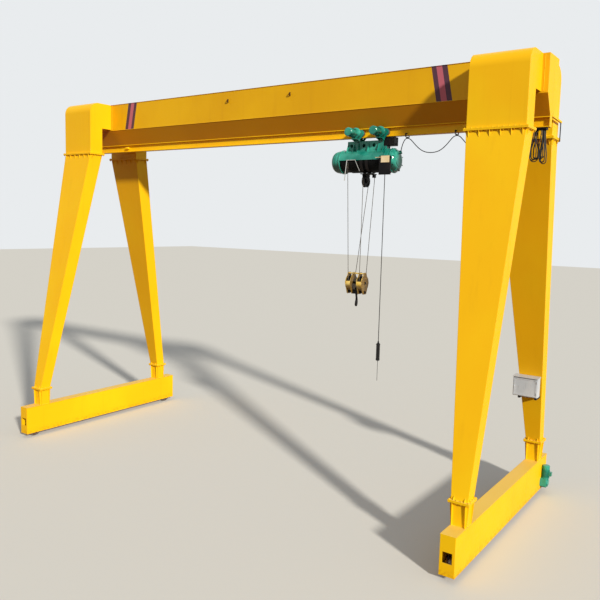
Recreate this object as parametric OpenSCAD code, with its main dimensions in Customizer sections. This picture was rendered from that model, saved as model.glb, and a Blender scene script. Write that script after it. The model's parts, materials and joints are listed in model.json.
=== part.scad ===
// Single-girder gantry crane with a wire-rope hoist under its girder.
// Millimetres, +Z up, X along the girder. The origin is on the floor under the middle of the girder.

/* [Portal] */
// Distance between the centre lines of the two ground beams
span = 13800; // [10000:100:20000]
// Height of the stubs between a ground beam and its legs' lower joints
foot_h = 500; // [350:10:700]
// Height of a leg between its lower and its upper flange joint
leg_h = 7310; // [5500:10:9000]
// Height of the leg heads, from the upper joint to the top of the girder
head_h = 1560; // [1500:10:1800]
// How far the top of a leg stands in from its ground beam's centre line
leg_top_inset = 210; // [0:10:300]
// Distance of the middle of a leg's foot from the end of its ground beam
leg_foot_end = 640; // [500:10:850]
// Distance of a leg's top from the girder's centre line
leg_top_y = 910; // [880:10:1000]

/* [Leg section] */
// Width of a leg at its foot, along the girder
leg_foot_w = 344; // [300:2:400]
// Thickness of a leg at its foot, across the girder
leg_foot_t = 332; // [280:2:360]
// Width of a leg at its top, along the girder
leg_top_w = 1240; // [900:10:1400]
// Thickness of a leg at its top, across the girder
leg_top_t = 450; // [400:2:500]
// Plate thickness of legs, heads and stubs
leg_plate = 8; // [6:1:14]
// Thickness of the flange plates at the bolted joints
flange_t = 25; // [16:1:32]
// How far the flange plates stand out from the legs
flange_out = 50; // [35:1:60]
// Thickness of the stiffening gussets
gusset_t = 12; // [8:1:16]
// Height of the gussets under the upper joint
gusset_h = 130; // [90:5:180]
// Number of gussets along each broad face under the upper joint
gusset_count = 6; // [4:1:8]
// Outer radius of the bend at the top of a leg head
head_bend_r = 310; // [200:10:400]

/* [Girder] */
// Width of the girder box
girder_w = 676; // [600:4:720]
// Height of the girder's upright webs
girder_web_h = 790; // [700:10:850]
// Height of the sloping plates below the webs
girder_slope_h = 430; // [350:10:500]
// Plate thickness of the girder
girder_plate = 8; // [6:1:14]
// How far the girder's top plate stands out past its webs
top_plate_out = 14; // [4:1:30]
// How far the girder runs on past the outer side of the leg heads
girder_end_past_head = 146; // [60:2:300]
// Height of the track beam under the girder
track_h = 220; // [180:5:260]
// Width of the track beam's flanges
track_w = 160; // [140:2:180]
// Thickness of the track beam's flanges
track_flange = 20; // [14:1:24]
// Thickness of the track beam's web
track_web = 12; // [8:1:16]

/* [Ground beam] */
// Width of a ground beam
beam_w = 330; // [300:5:380]
// Height of a ground beam
beam_h = 820; // [700:10:900]
// Length of a ground beam
beam_len = 6100; // [5600:50:7000]
// Height of the ground beam's underside above the floor
beam_clear = 120; // [90:5:160]
// Plate thickness of the ground beams
beam_plate = 10; // [8:1:16]
// How far a ground beam's top and bottom plates stand out past its sides
beam_lip = 8; // [3:1:20]
// Diameter of a travel wheel over its flanges
wheel_flange_d = 450; // [420:5:480]
// Diameter of a travel wheel's tread
wheel_tread_d = 400; // [370:5:410]
// Width of a travel wheel over its flanges
wheel_w = 130; // [110:5:160]
// Width of a travel wheel's tread
wheel_tread_w = 90; // [60:5:100]
// Diameter of a travel wheel's axle
wheel_axle_d = 80; // [60:5:100]
// Distance of the travel wheels' axles from the end of the ground beam
wheel_end = 330; // [300:10:450]
// Outer diameter of the bearing housings inside the ground beam
bearing_d = 170; // [130:5:200]
// Diameter of a travel motor on the ground beams, over its fins
drive_motor_d = 190; // [150:5:220]
// Height of a travel motor on the ground beams
drive_motor_len = 330; // [250:10:400]

/* [Control cabinet] */
// Height of the control cabinet's underside above the floor
cabinet_z = 2690; // [1800:10:3500]
// Width of the control cabinet
cabinet_w = 590; // [400:10:700]
// Height of the control cabinet
cabinet_h = 470; // [350:10:800]
// Depth of the control cabinet
cabinet_d = 200; // [150:10:300]
// Overhang of the rain roof above the cabinet's door
cabinet_roof_out = 30; // [10:5:60]

/* [Trolley] */
// Place of the middle of the hoist trolley along the girder
trolley_x = 3190; // [0:10:3600]
// Distance between the two bogies of the trolley
bogie_gap = 680; // [600:10:800]
// Diameter of a trolley wheel's tread
trolley_wheel_d = 160; // [140:5:170]
// Distance between the two axles of a bogie
bogie_wheelbase = 230; // [210:5:280]
// Thickness of the bogies' side plates
bogie_plate = 14; // [10:1:20]
// Distance from the track flange's edge to the wheels' lips
flange_gap = 6; // [5:0.5:10]
// Diameter of a trolley motor's body over its fins
trolley_motor_d = 216; // [160:4:230]
// Length of a trolley motor, from its gear case to the end of its cap
trolley_motor_len = 330; // [250:10:400]
// Diameter of a trolley motor's gear case
trolley_case_d = 280; // [200:10:300]

/* [Hoist] */
// Height of the hoist's drum axis below the underside of the track beam
drum_drop = 570; // [530:5:640]
// Outer radius of the hoist's drum shell
shell_r = 285; // [280:1:300]
// Plate thickness of the drum shell
shell_t = 6; // [3:1:8]
// Length of the drum shell
shell_len = 1240; // [1100:10:1300]
// How far the drum shell reaches left of the trolley's middle
shell_left = 730; // [690:10:780]
// Height of the shell's lower edges above the drum axis
shell_edge_up = 15; // [0:5:60]
// How far the rims of the shell, the motor and the gearbox stand out from the shell
rim_out = 10; // [6:1:16]
// Radius of the rope drum's body, under the rope
drum_r = 258; // [240:1:260]
// Radius of the drum's end flanges
drum_flange_r = 272; // [264:1:273]
// Length of the hoist motor
motor_len = 290; // [250:10:400]
// Length of the hoist gearbox
gearbox_len = 280; // [240:10:360]
// Distance of the suspension frame's side plates from the middle
frame_y = 85; // [70:1:92]
// Thickness of the suspension frame's plates
frame_plate = 12; // [8:1:14]
// How far the hook block's middle hangs left of the trolley's middle
block_left = 260; // [200:10:300]
// How far the upper pulley hangs left of the trolley's middle
pulley_left = 100; // [60:10:140]
// Depth of the upper pulley's axis below the drum axis
pulley_drop = 475; // [440:5:560]
// Outer radius of the upper pulley
pulley_r = 152; // [120:2:170]
// Length of the limit switch's lever
lever_len = 500; // [300:10:600]

/* [Hook block] */
// Height of the hook block's sheave axis above the floor
block_z = 5300; // [2000:10:6500]
// Distance between the two sheaves of the hook block
sheave_gap = 320; // [260:10:360]
// Radius of the sheaves' rope groove
sheave_r = 160; // [140:5:180]
// Diameter of the wire rope
rope_d = 15; // [12:1:20]
// Diameter of the hook's shank
shank_d = 60; // [50:2:80]
// Radius of the hook's throat
hook_throat_r = 72; // [60:2:90]
// Thickness of the hook's body at its bottom
hook_body = 76; // [60:2:90]

/* [Hidden] */
$fn = 48;

yellow = "#F4B90A";
teal = "#1F8F74";
block_yellow = "#D9B93A";
steel_black = "#1B1B1D";
steel_grey = "#77797B";
cabinet_grey = "#C9CBC8";
cable_black = "#141414";
cream = "#F0DDB0";

// Route of the festoon cable, as [x, z]: out of the gland, under both carriers and into the clamp
festoon_route = [
    [4020, 8520.5], [4020, 8530], [4021, 8550], [4032, 8600], [4050, 8660], [4074, 8720], [4104, 8774],
    [4135, 8802], [4170, 8807], [4205, 8803], [4250, 8781], [4310, 8728], [4380, 8655], [4460, 8582],
    [4550, 8518], [4660, 8472], [4810, 8455], [4960, 8478], [5070, 8536], [5165, 8618], [5245, 8706],
    [5315, 8777], [5370, 8804], [5400, 8807], [5430, 8804], [5490, 8774], [5570, 8692], [5670, 8588],
    [5800, 8482], [5990, 8392], [6230, 8360], [6470, 8392], [6660, 8480], [6790, 8590], [6880, 8690],
    [6960, 8775], [7030, 8822], [7075, 8835], [7099, 8835]
];
// Pendant cable and pull cord: they hang straight down at this [x, y], with a ring at each height
pendant_at = [3780, -320];
pendant_heights = [for (i = [0:40]) 7950 - 100 * i];
pull_heights = [for (i = [0:16]) 3450 - 30 * i];

seat = 0.3;   // clearance of a seated piece
bite = 4;     // depth that a welded plate runs into the plate it joins
fit = 0.05;   // radial clearance of a shaft in its bore

// Heights from the floor up
beam_top_z = beam_clear + beam_h;
leg_bottom_z = beam_top_z + foot_h;
leg_top_z = leg_bottom_z + leg_h;
girder_top_z = leg_top_z + head_h;
web_bottom_z = girder_top_z - girder_web_h;
track_top_z = web_bottom_z - girder_slope_h;
track_bottom_z = track_top_z - track_h;
track_run_z = track_bottom_z + track_flange;

// Across the girder
leg_foot_y = beam_len / 2 - leg_foot_end;
wheel_y = beam_len / 2 - wheel_end;

// Along the girder
leg_foot_x = span / 2;
leg_top_x = span / 2 - leg_top_inset;
head_out_x = leg_top_x + leg_top_w / 2;
head_in_x = leg_top_x - leg_top_w / 2;
girder_half = head_out_x + girder_end_past_head;
end_plate_t = girder_plate;

// Under the girder: the hoist
drum_z = track_bottom_z - drum_drop;
shell_x0 = trolley_x - shell_left;
shell_x1 = shell_x0 + shell_len;
rim_r = shell_r + rim_out;
bogies = [trolley_x - bogie_gap / 2, trolley_x + bogie_gap / 2];

// Linear change between two values over the leg's height
function at_leg(z, low, high) = low + (high - low) * (z - leg_bottom_z) / leg_h;
function leg_in_y(z) = at_leg(z, leg_foot_y - leg_foot_t / 2, leg_top_y - leg_top_t / 2);
function leg_out_y(z) = at_leg(z, leg_foot_y + leg_foot_t / 2, leg_top_y + leg_top_t / 2);
function leg_in_x(z) = at_leg(z, leg_foot_x - leg_foot_w / 2, head_in_x);
function leg_out_x(z) = at_leg(z, leg_foot_x + leg_foot_w / 2, head_out_x);

// Places of n items spread evenly from a to b
function spread(n, a, b) = [for (i = [0:n - 1]) a + (b - a) * i / (n - 1)];

// Profile drawn as [y, z] and extruded along X from x0 to x1
module along_x(x0, x1) {
    translate([x0, 0, 0]) rotate([90, 0, 90]) linear_extrude(x1 - x0) children();
}

// Profile drawn as [x, z] and extruded along Y from y0 to y1
module along_y(y0, y1) {
    translate([0, y1, 0]) rotate([90, 0, 0]) linear_extrude(y1 - y0) children();
}

// Cylinder along X from x0 to x1
module rod_x(r, x0, x1, y = 0, z = 0) {
    translate([x0, y, z]) rotate([0, 90, 0]) cylinder(r = r, h = x1 - x0);
}

// Cylinder along Y from y0 to y1
module rod_y(r, y0, y1, x = 0, z = 0) {
    translate([x, y0, z]) rotate([-90, 0, 0]) cylinder(r = r, h = y1 - y0);
}

// Box given by its low and high corners
module block(low, high) {
    translate(low) cube(high - low);
}

// Copy for one corner of the portal: side -1 is left or front, 1 is right or back
module corner(side_x, side_y) {
    mirror([side_x < 0 ? 1 : 0, 0, 0]) mirror([0, side_y < 0 ? 1 : 0, 0]) children();
}

// Smooth curve through the points: a cubic between each two, in the given number of steps
function smooth(points, steps) = let (n = len(points))
    [for (i = [0:n - 1], k = [0:i < n - 1 ? steps - 1 : 0])
        let (t = k / steps, b = points[i], c = points[min(i + 1, n - 1)],
            a = i > 0 ? points[i - 1] : 2 * b - c, d = i < n - 2 ? points[i + 2] : 2 * c - b)
        0.5 * (2 * b + (c - a) * t + (2 * a - 5 * b + 4 * c - d) * t * t
            + (3 * b - a - 3 * c + d) * t * t * t)];

// Tube swept along the points with its rings square to the route: r is its radius or one for each ring,
// ref lies across the route's plane, and flat is its width along ref as a share of its height
module tube(points, r, ref, sides = 8, flat = 1) {
    n = len(points);
    function unit(v) = v / norm(v);
    function tangent(i) = unit(points[min(i + 1, n - 1)] - points[max(i - 1, 0)]);
    rings = [for (i = [0:n - 1])
        let (t = tangent(i), a = unit(cross(t, ref)), b = cross(a, t), ri = is_list(r) ? r[i] : r)
        for (k = [0:sides - 1])
            points[i] + ri * (a * cos(360 * k / sides) + b * flat * sin(360 * k / sides))];
    walls = [for (i = [0:n - 2], k = [0:sides - 1])
        [i * sides + k, i * sides + (k + 1) % sides,
         (i + 1) * sides + (k + 1) % sides, (i + 1) * sides + k]];
    polyhedron(rings, concat(
        [[for (k = [0:sides - 1]) sides - 1 - k]],
        walls,
        [[for (k = [0:sides - 1]) (n - 1) * sides + k]]), convexity = 6);
}

// Girder

girder_foot = track_w / 2 - 5;

module girder_section(inset) {
    half = girder_w / 2 - inset;
    foot = girder_foot - inset;
    polygon([[-half, girder_top_z - inset], [-half, web_bottom_z + inset * 0.4],
        [-foot, track_top_z + inset], [foot, track_top_z + inset],
        [half, web_bottom_z + inset * 0.4], [half, girder_top_z - inset]]);
}

// Lifting lugs on the girder's front web: places along it, height on it, and size
lug_x = [-1144, 966];
lug_z = girder_top_z - 260;
lug_size = [14, 70, 90];

module girder_box() {
    lip = girder_w / 2 + top_plate_out;
    color(yellow) union() {
        along_x(-girder_half + end_plate_t, girder_half - end_plate_t) difference() {
            girder_section(0);
            girder_section(girder_plate);
        }
        along_x(-head_in_x + seat, head_in_x - seat)
            translate([-lip, girder_top_z - girder_plate]) square([2 * lip, girder_plate]);
        for (x = lug_x) difference() {
            along_x(x - lug_size[0] / 2, x + lug_size[0] / 2)
                polygon([[-girder_w / 2 + bite, lug_z - lug_size[2] / 2],
                    [-girder_w / 2 - lug_size[1] / 2, lug_z - lug_size[2] / 2],
                    [-girder_w / 2 - lug_size[1], lug_z - lug_size[2] / 6],
                    [-girder_w / 2 - lug_size[1], lug_z + lug_size[2] / 6],
                    [-girder_w / 2 - lug_size[1] / 2, lug_z + lug_size[2] / 2],
                    [-girder_w / 2 + bite, lug_z + lug_size[2] / 2]]);
            rod_x(lug_size[1] / 5, x - lug_size[0], x + lug_size[0], -girder_w / 2 - lug_size[1] * 0.6, lug_z);
        }
    }
}

module girder_track_beam() {
    color(yellow)
        along_x(-girder_half + end_plate_t, girder_half - end_plate_t) {
            for (z = [track_bottom_z, track_top_z - track_flange])
                translate([-track_w / 2, z]) square([track_w, track_flange]);
            translate([-track_web / 2, track_bottom_z]) square([track_web, track_h]);
        }
}

module girder_end_plates() {
    color(yellow)
        for (side = [-1, 1])
            mirror([side < 0 ? 1 : 0, 0, 0])
                along_x(girder_half - end_plate_t, girder_half) union() {
                    girder_section(0);
                    translate([-track_w / 2, track_bottom_z]) square([track_w, track_h]);
                }
}

// Buffer blocks that close the trolley's run at both ends of the track
stop_len = 120;
stop_x = head_in_x - 490;
stop_low_z = track_run_z + 75;

module track_stops() {
    color(yellow)
        for (side = [-1, 1], face = [-1, 1])
            mirror([side < 0 ? 1 : 0, 0, 0]) mirror([0, face < 0 ? 1 : 0, 0])
                along_x(stop_x, stop_x + stop_len)
                    polygon([[track_web / 2, stop_low_z], [track_w / 2, stop_low_z],
                        [track_w / 2, stop_low_z + 50], [track_web / 2, stop_low_z + 85]]);
}

// Leg heads: hollow elbows from the upper joint to the girder's web

head_notch_z = web_bottom_z + 30;
head_in_y = leg_top_y - leg_top_t / 2;
head_out_y = leg_top_y + leg_top_t / 2;

module head_section(inset) {
    bend = head_bend_r - inset;
    top = girder_top_z - inset;
    out = head_out_y - inset;
    union() {
        translate([out - bend, top - bend]) intersection() {
            circle(r = bend, $fn = 96);
            square(bend);
        }
        translate([head_in_y + inset, leg_top_z])
            square([out - head_in_y - inset, top - bend - leg_top_z]);
        translate([girder_w / 2 + inset, head_notch_z + inset])
            square([out - bend - girder_w / 2 - inset, top - head_notch_z - inset]);
        translate([head_in_y + inset, head_notch_z + inset])
            square([out - bend - head_in_y - inset + 1, top - head_notch_z - inset - 1]);
    }
}

module head() {
    color(yellow) union() {
        difference() {
            along_x(head_in_x, head_out_x) head_section(0);
            along_x(head_in_x + leg_plate, head_out_x - leg_plate)
                difference() {
                    head_section(leg_plate);
                    translate([head_in_y - 1, leg_top_z - 1]) square([1, 1]);
                }
        }
        flange_ring(leg_top_z, head_in_x, head_out_x, head_in_y, head_out_y);
    }
}

// Ring plate round a joint, standing out from the four faces and open inside
module flange_ring(z, x0, x1, y0, y1) {
    difference() {
        block([x0 - flange_out, y0 - flange_out, z], [x1 + flange_out, y1 + flange_out, z + flange_t]);
        block([x0 + leg_plate, y0 + leg_plate, z - 1],
            [x1 - leg_plate, y1 - leg_plate, z + flange_t + 1]);
    }
}

// Legs: tapered box tubes, as the overlap of a front and a side outline

module leg_solid(inset) {
    over = inset > 0 ? 1 : 0;
    z0 = leg_bottom_z - over;
    z1 = leg_top_z + over;
    intersection() {
        along_y(0, leg_foot_y + leg_foot_t)
            polygon([[leg_in_x(z0) + inset, z0], [leg_out_x(z0) - inset, z0],
                [leg_out_x(z1) - inset, z1], [leg_in_x(z1) + inset, z1]]);
        along_x(0, span)
            polygon([[leg_in_y(z0) + inset, z0], [leg_out_y(z0) - inset, z0],
                [leg_out_y(z1) - inset, z1], [leg_in_y(z1) + inset, z1]]);
    }
}

// Gusset plates on the faces of a leg under its upper or above its lower flange; up is the height away from the flange
module leg_gussets(flange_z, up, count_x, count_y) {
    tip = flange_z + up;
    mid_x0 = leg_in_x(flange_z);
    mid_x1 = leg_out_x(flange_z);
    mid_y0 = leg_in_y(flange_z);
    mid_y1 = leg_out_y(flange_z);
    edge = flange_out - 6;
    for (x = spread(count_x, mid_x0 + 60, mid_x1 - 60)) along_x(x - gusset_t / 2, x + gusset_t / 2) {
        polygon([[mid_y1 - bite, flange_z], [mid_y1 + edge, flange_z],
            [leg_out_y(tip) + 4, tip], [leg_out_y(tip) - bite, tip]]);
        polygon([[mid_y0 + bite, flange_z], [mid_y0 - edge, flange_z],
            [leg_in_y(tip) - 4, tip], [leg_in_y(tip) + bite, tip]]);
    }
    for (y = spread(count_y, mid_y0 + 60, mid_y1 - 60)) along_y(y - gusset_t / 2, y + gusset_t / 2) {
        polygon([[mid_x1 - bite, flange_z], [mid_x1 + edge, flange_z],
            [leg_out_x(tip) + 4, tip], [leg_out_x(tip) - bite, tip]]);
        polygon([[mid_x0 + bite, flange_z], [mid_x0 - edge, flange_z],
            [leg_in_x(tip) - 4, tip], [leg_in_x(tip) + bite, tip]]);
    }
}

module leg() {
    low_top = leg_bottom_z + flange_t;
    high_bottom = leg_top_z - flange_t;
    color(yellow) union() {
        difference() {
            leg_solid(0);
            leg_solid(leg_plate);
        }
        flange_ring(leg_bottom_z, leg_in_x(leg_bottom_z), leg_out_x(leg_bottom_z),
            leg_in_y(leg_bottom_z), leg_out_y(leg_bottom_z));
        flange_ring(high_bottom, head_in_x, head_out_x, head_in_y, head_out_y);
        leg_gussets(high_bottom, -gusset_h, gusset_count, 2);
        leg_gussets(low_top, 70, 2, 2);
    }
}

// Stubs between the ground beam and the leg, ribbed at their corners

foot_w = leg_foot_w - 44;
foot_t = leg_foot_t - 40;
foot_base_t = 16;

module foot() {
    x0 = leg_foot_x - foot_w / 2;
    x1 = leg_foot_x + foot_w / 2;
    y0 = leg_foot_y - foot_t / 2;
    y1 = leg_foot_y + foot_t / 2;
    under = leg_bottom_z - flange_t;
    color(yellow) union() {
        difference() {
            block([x0, y0, beam_top_z], [x1, y1, leg_bottom_z]);
            block([x0 + leg_plate, y0 + leg_plate, beam_top_z - 1],
                [x1 - leg_plate, y1 - leg_plate, leg_bottom_z + 1]);
        }
        difference() {
            block([leg_in_x(leg_bottom_z) - flange_out, leg_in_y(leg_bottom_z) - flange_out, under],
                [leg_out_x(leg_bottom_z) + flange_out, leg_out_y(leg_bottom_z) + flange_out, leg_bottom_z]);
            block([x0 + leg_plate, y0 + leg_plate, under - 1],
                [x1 - leg_plate, y1 - leg_plate, leg_bottom_z + 1]);
        }
        for (x = [x0 + gusset_t, x1 - gusset_t])
            along_x(x - gusset_t / 2, x + gusset_t / 2) {
                polygon([[y1 - bite, beam_top_z], [y1 + 30, beam_top_z],
                    [y1 + flange_out, under], [y1 - bite, under]]);
                polygon([[y0 + bite, beam_top_z], [y0 - 30, beam_top_z],
                    [y0 - flange_out, under], [y0 + bite, under]]);
            }
        for (y = [y0 + gusset_t, y1 - gusset_t])
            along_y(y - gusset_t / 2, y + gusset_t / 2) {
                polygon([[x1 - bite, beam_top_z], [leg_foot_x + beam_w / 2 - 2, beam_top_z],
                    [x1 + flange_out, under], [x1 - bite, under]]);
                polygon([[x0 + bite, beam_top_z], [leg_foot_x - beam_w / 2 + 2, beam_top_z],
                    [x0 - flange_out, under], [x0 + bite, under]]);
            }
    }
}

// Ground beams with their travel wheels

axle_z = wheel_flange_d / 2;
end_hole_w = 200;
end_hole_h = 220;
end_hole_z = beam_clear + 370;

beam_side = beam_w / 2 - beam_lip;
beam_inner = beam_side - beam_plate;
bearing_face = wheel_w / 2 + 5;
slot_half = wheel_flange_d / 2 + 15;

module ground_beam() {
    half = beam_len / 2;
    color(yellow) translate([leg_foot_x, 0, 0]) difference() {
        union() {
            difference() {
                along_y(-half, half) {
                    translate([-beam_side, beam_clear]) square([2 * beam_side, beam_h]);
                    for (z = [beam_clear, beam_top_z - beam_plate])
                        translate([-beam_w / 2, z]) square([beam_w, beam_plate]);
                }
                block([-beam_inner, -half + beam_plate, beam_clear + beam_plate],
                    [beam_inner, half - beam_plate, beam_top_z - beam_plate]);
            }
            for (side = [-1, 1], face = [-1, 1]) mirror([face < 0 ? 1 : 0, 0, 0]) {
                rod_x(bearing_d / 2, bearing_face, beam_inner + bite, side * wheel_y, axle_z);
                for (up = [-1, 1])
                    block([bearing_face + 10, side * wheel_y + up * bearing_d / 2 - 6, beam_clear + beam_plate - bite],
                        [beam_inner + bite, side * wheel_y + up * bearing_d / 2 + 6, axle_z + 20]);
            }
        }
        block([-end_hole_w / 2, -half - 1, end_hole_z - end_hole_h / 2],
            [end_hole_w / 2, half + 1, end_hole_z + end_hole_h / 2]);
        for (side = [-1, 1]) {
            block([-wheel_w / 2 - 15, side * wheel_y - slot_half, beam_clear - 1],
                [wheel_w / 2 + 15, side * wheel_y + slot_half, beam_clear + beam_plate + 1]);
            rod_x(wheel_axle_d / 2 + fit, -beam_inner, beam_inner, side * wheel_y, axle_z);
        }
    }
}

module travel_wheels() {
    web = wheel_w / 2 - 22;
    color(steel_grey)
        for (side = [-1, 1]) translate([leg_foot_x, side * wheel_y, axle_z]) rotate([0, 90, 0]) union() {
            rotate_extrude($fn = 64) polygon([
                [0, -bearing_face + 1], [wheel_axle_d * 0.8, -bearing_face + 1], [wheel_axle_d, -web],
                [wheel_tread_d / 2 - 45, -web], [wheel_tread_d / 2 - 30, -wheel_w / 2],
                [wheel_flange_d / 2, -wheel_w / 2], [wheel_flange_d / 2, -wheel_w / 2 + 8],
                [wheel_tread_d / 2, -wheel_tread_w / 2], [wheel_tread_d / 2, wheel_tread_w / 2],
                [wheel_flange_d / 2, wheel_w / 2 - 8], [wheel_flange_d / 2, wheel_w / 2],
                [wheel_tread_d / 2 - 30, wheel_w / 2], [wheel_tread_d / 2 - 45, web],
                [wheel_axle_d, web], [wheel_axle_d * 0.8, bearing_face - 1], [0, bearing_face - 1]]);
            cylinder(r = wheel_axle_d / 2, h = 2 * (beam_inner - seat), center = true);
        }
}

// Ring of n fins standing out from radius r0 to r1 round the Z axis, from z0 to z1
module fins(n, r0, r1, z0, z1, t = 5) {
    for (i = [0:n - 1]) rotate([0, 0, 360 * i / n])
        translate([r0, -t / 2, z0]) cube([r1 - r0, t, z1 - z0]);
}

// Electric motor that stands along +Z on its flange: finned body, end shield and fan cowl
module finned_motor(r, len) {
    body = r - 12;
    cowl = len * 0.28;
    cylinder(r = r, h = 16);
    cylinder(r = body, h = len - cowl + 1);
    fins(24, body - 2, r, 30, len - cowl - 12);
    translate([0, 0, len - cowl]) rotate_extrude($fn = 48) polygon([[0, 0], [r - 4, 0], [r - 4, cowl - 14],
        [r - 16, cowl - 2], [r * 0.5, cowl], [0, cowl]]);
}

// Geared travel motor on its beam's outer side over the back wheel: gear case, round cover, motor and terminal box
drive_case = [150, 260, 230];
drive_z = axle_z - 40;

module travel_drive() {
    face_x = leg_foot_x + beam_side + seat;
    top = drive_z + drive_case[2];
    motor = [face_x + drive_motor_d / 2 + 4, wheel_y - 20];
    color(teal) union() {
        along_x(face_x, face_x + drive_case[0]) difference() {
            translate([wheel_y - drive_case[1] / 2 - 20, drive_z]) square([drive_case[1], drive_case[2]]);
            for (y = [-1, 1])
                translate([wheel_y - 20 + y * drive_case[1] / 2, drive_z]) rotate([0, 0, 45])
                    square(40, center = true);
        }
        block([face_x, wheel_y - drive_case[1] / 2 - 50, drive_z + 40],
            [face_x + 16, wheel_y + drive_case[1] / 2 + 10, top - 40]);
        rod_x(110, face_x + drive_case[0] - 1, face_x + drive_case[0] + 14, wheel_y - 20, drive_z + 110);
        rod_x(78, face_x + drive_case[0] + 13, face_x + drive_case[0] + 26, wheel_y - 20, drive_z + 110);
        translate([motor[0], motor[1], top - 1]) finned_motor(drive_motor_d / 2, drive_motor_len);
        block([motor[0] + drive_motor_d / 2 - 16, motor[1] - 50, top + 70],
            [motor[0] + drive_motor_d / 2 + 50, motor[1] + 50, top + 170]);
    }
}

// Control cabinet on the inner face of the back right leg, on two channels

cabinet_x = leg_foot_x - 400;
cabinet_top_z = cabinet_z + cabinet_h;
channel_h = 50;
channel_len = 440;
cabinet_back_y = leg_in_y(cabinet_top_z) - 12;
door_t = 14;

module control_cabinet() {
    front = cabinet_back_y - cabinet_d;
    rim = 14;
    color(cabinet_grey) union() {
        block([cabinet_x, front, cabinet_z], [cabinet_x + cabinet_w, cabinet_back_y, cabinet_top_z]);
        along_x(cabinet_x - 12, cabinet_x + cabinet_w + 12)
            polygon([[cabinet_back_y, cabinet_top_z - 1], [front - door_t - cabinet_roof_out, cabinet_top_z - 1],
                [front - door_t - cabinet_roof_out, cabinet_top_z + 8], [cabinet_back_y, cabinet_top_z + 30]]);
        difference() {
            block([cabinet_x + rim, front - door_t, cabinet_z + rim],
                [cabinet_x + cabinet_w - rim, front + 1, cabinet_top_z - rim]);
            block([cabinet_x + rim + 40, front - door_t - 1, cabinet_z + rim + 40],
                [cabinet_x + cabinet_w - rim - 40, front - door_t + 4, cabinet_top_z - rim - 40]);
        }
        for (z = [cabinet_z + 90, cabinet_top_z - 90])
            translate([cabinet_x + cabinet_w - rim - 4, front - door_t - 2, z - 30]) cylinder(r = 9, h = 60);
        translate([cabinet_x + rim + 20, front - door_t + 1, cabinet_z + cabinet_h / 2]) rotate([90, 0, 0]) {
            cylinder(r = 15, h = 12);
            translate([-9, -60, 12]) cube([18, 75, 12]);
        }
        for (x = [240, 300, 360])
            translate([cabinet_x + x, cabinet_back_y - cabinet_d / 2, cabinet_z - 35]) {
                cylinder(r = 16, h = 36);
                cylinder(r = 21, h = 14, $fn = 6);
            }
    }
}

module cabinet_bracket() {
    x0 = leg_in_x(cabinet_z) + 20;
    color(steel_black) {
        for (z = [cabinet_z - channel_h - seat, cabinet_top_z - 120]) {
            low = z < cabinet_z;
            front_y = low ? cabinet_back_y - cabinet_d : cabinet_back_y + seat;
            for (x = low ? [x0 - 6, x0 + channel_len - channel_h] : [x0, x0 + channel_len - channel_h])
                along_x(x, x + channel_h)
                    polygon([[front_y, z], [leg_in_y(z) - seat, z],
                        [leg_in_y(z + channel_h) - seat, z + channel_h], [front_y, z + channel_h]]);
        }
    }
}

// Festoon cable: a loop hangs between the hoist, two carriers and the clamp at the girder's end

festoon_r = 10;
clip_z = track_bottom_z - 51;
carrier_x = [4170, 5400];
carrier_wheel_r = 18;
clamp_x = girder_half - 356;
clamp_len = 290;
clamp_half = 75;
gland_x = shell_x1 + gearbox_len + 40;
gland_z = drum_z + 220;

module cable_carrier(x) {
    wheel_z = track_run_z + carrier_wheel_r + seat;
    strap_y = track_w / 2 + 8;
    color(steel_black) translate([x, 0, 0]) {
        for (face = [-1, 1]) mirror([0, face < 0 ? 1 : 0, 0]) {
            rod_y(carrier_wheel_r, 30, 62, 0, wheel_z);
            rod_y(6, 61, strap_y + 12, 0, wheel_z);
            along_y(strap_y, strap_y + 5) union() {
                translate([0, wheel_z]) circle(r = 16);
                translate([-12, clip_z + 14]) square([24, wheel_z - clip_z - 14]);
            }
        }
        along_x(-12, 12) translate([-strap_y - 5, clip_z + 14]) square([2 * strap_y + 10, 6]);
        along_y(-25, 25) difference() {
            translate([-30, clip_z]) square([60, 15]);
            for (side = [-1, 1]) translate([side * 30, clip_z]) rotate([0, 0, 45]) square(8, center = true);
        }
    }
}

module cable_carrier_1() {
    cable_carrier(carrier_x[0]);
}

module cable_carrier_2() {
    cable_carrier(carrier_x[1]);
}

// Clamp under the track's end, and the conduit that goes down from the cable arm
module festoon_clamp() {
    color(steel_black) {
        difference() {
            block([clamp_x, -clamp_half, clip_z], [clamp_x + clamp_len, clamp_half, track_bottom_z - seat]);
            for (side = [-1, 1])
                block([clamp_x - 1, side * clamp_half - 12, clip_z - 1], [clamp_x + clamp_len + 1, side * clamp_half + 12, clip_z + 14]);
        }
        translate([arm_x, arm_end_y - 30, conduit_low_z]) cylinder(r = 11, h = arm_z - 45 - seat - conduit_low_z);
    }
}

module festoon_loops() {
    color(cable_black)
        tube([for (p = smooth(festoon_route, 2)) [p[0], 0, p[1]]], festoon_r, [0, 1, 0]);
}

// One loop of spare cable, narrow where it is clamped and round at its low end
function parked_loop(x, y, width, drop) =
    let (r = width / 2, top = clip_z - seat, low = top - drop + r,
        side = [[13, top], [13, top - 50], [15, top - 120], [(13 + r) / 2, (top + low) / 2], [r, low + 150], [r, low + 50]])
    concat([for (p = side) [x - p[0], y, p[1]]],
        [for (a = [0:30:180]) [x - r * cos(a), y, low - r * sin(a)]],
        [for (i = [len(side) - 1:-1:0]) [x + side[i][0], y, side[i][1]]]);

// Loops of the parked cable: middle, side place, width and drop of each
parked = [[7140, -52, 130, 620], [7160, -26, 165, 650], [7195, 0, 110, 600], [7315, 26, 90, 655], [7335, 52, 110, 690]];

module festoon_bundle() {
    color(cable_black)
        for (p = parked) tube(parked_loop(p[0], p[1], p[2], p[3]), festoon_r, [0, 1, 0]);
}

// Arm at the girder's right end that leads the cable to the back leg

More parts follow.
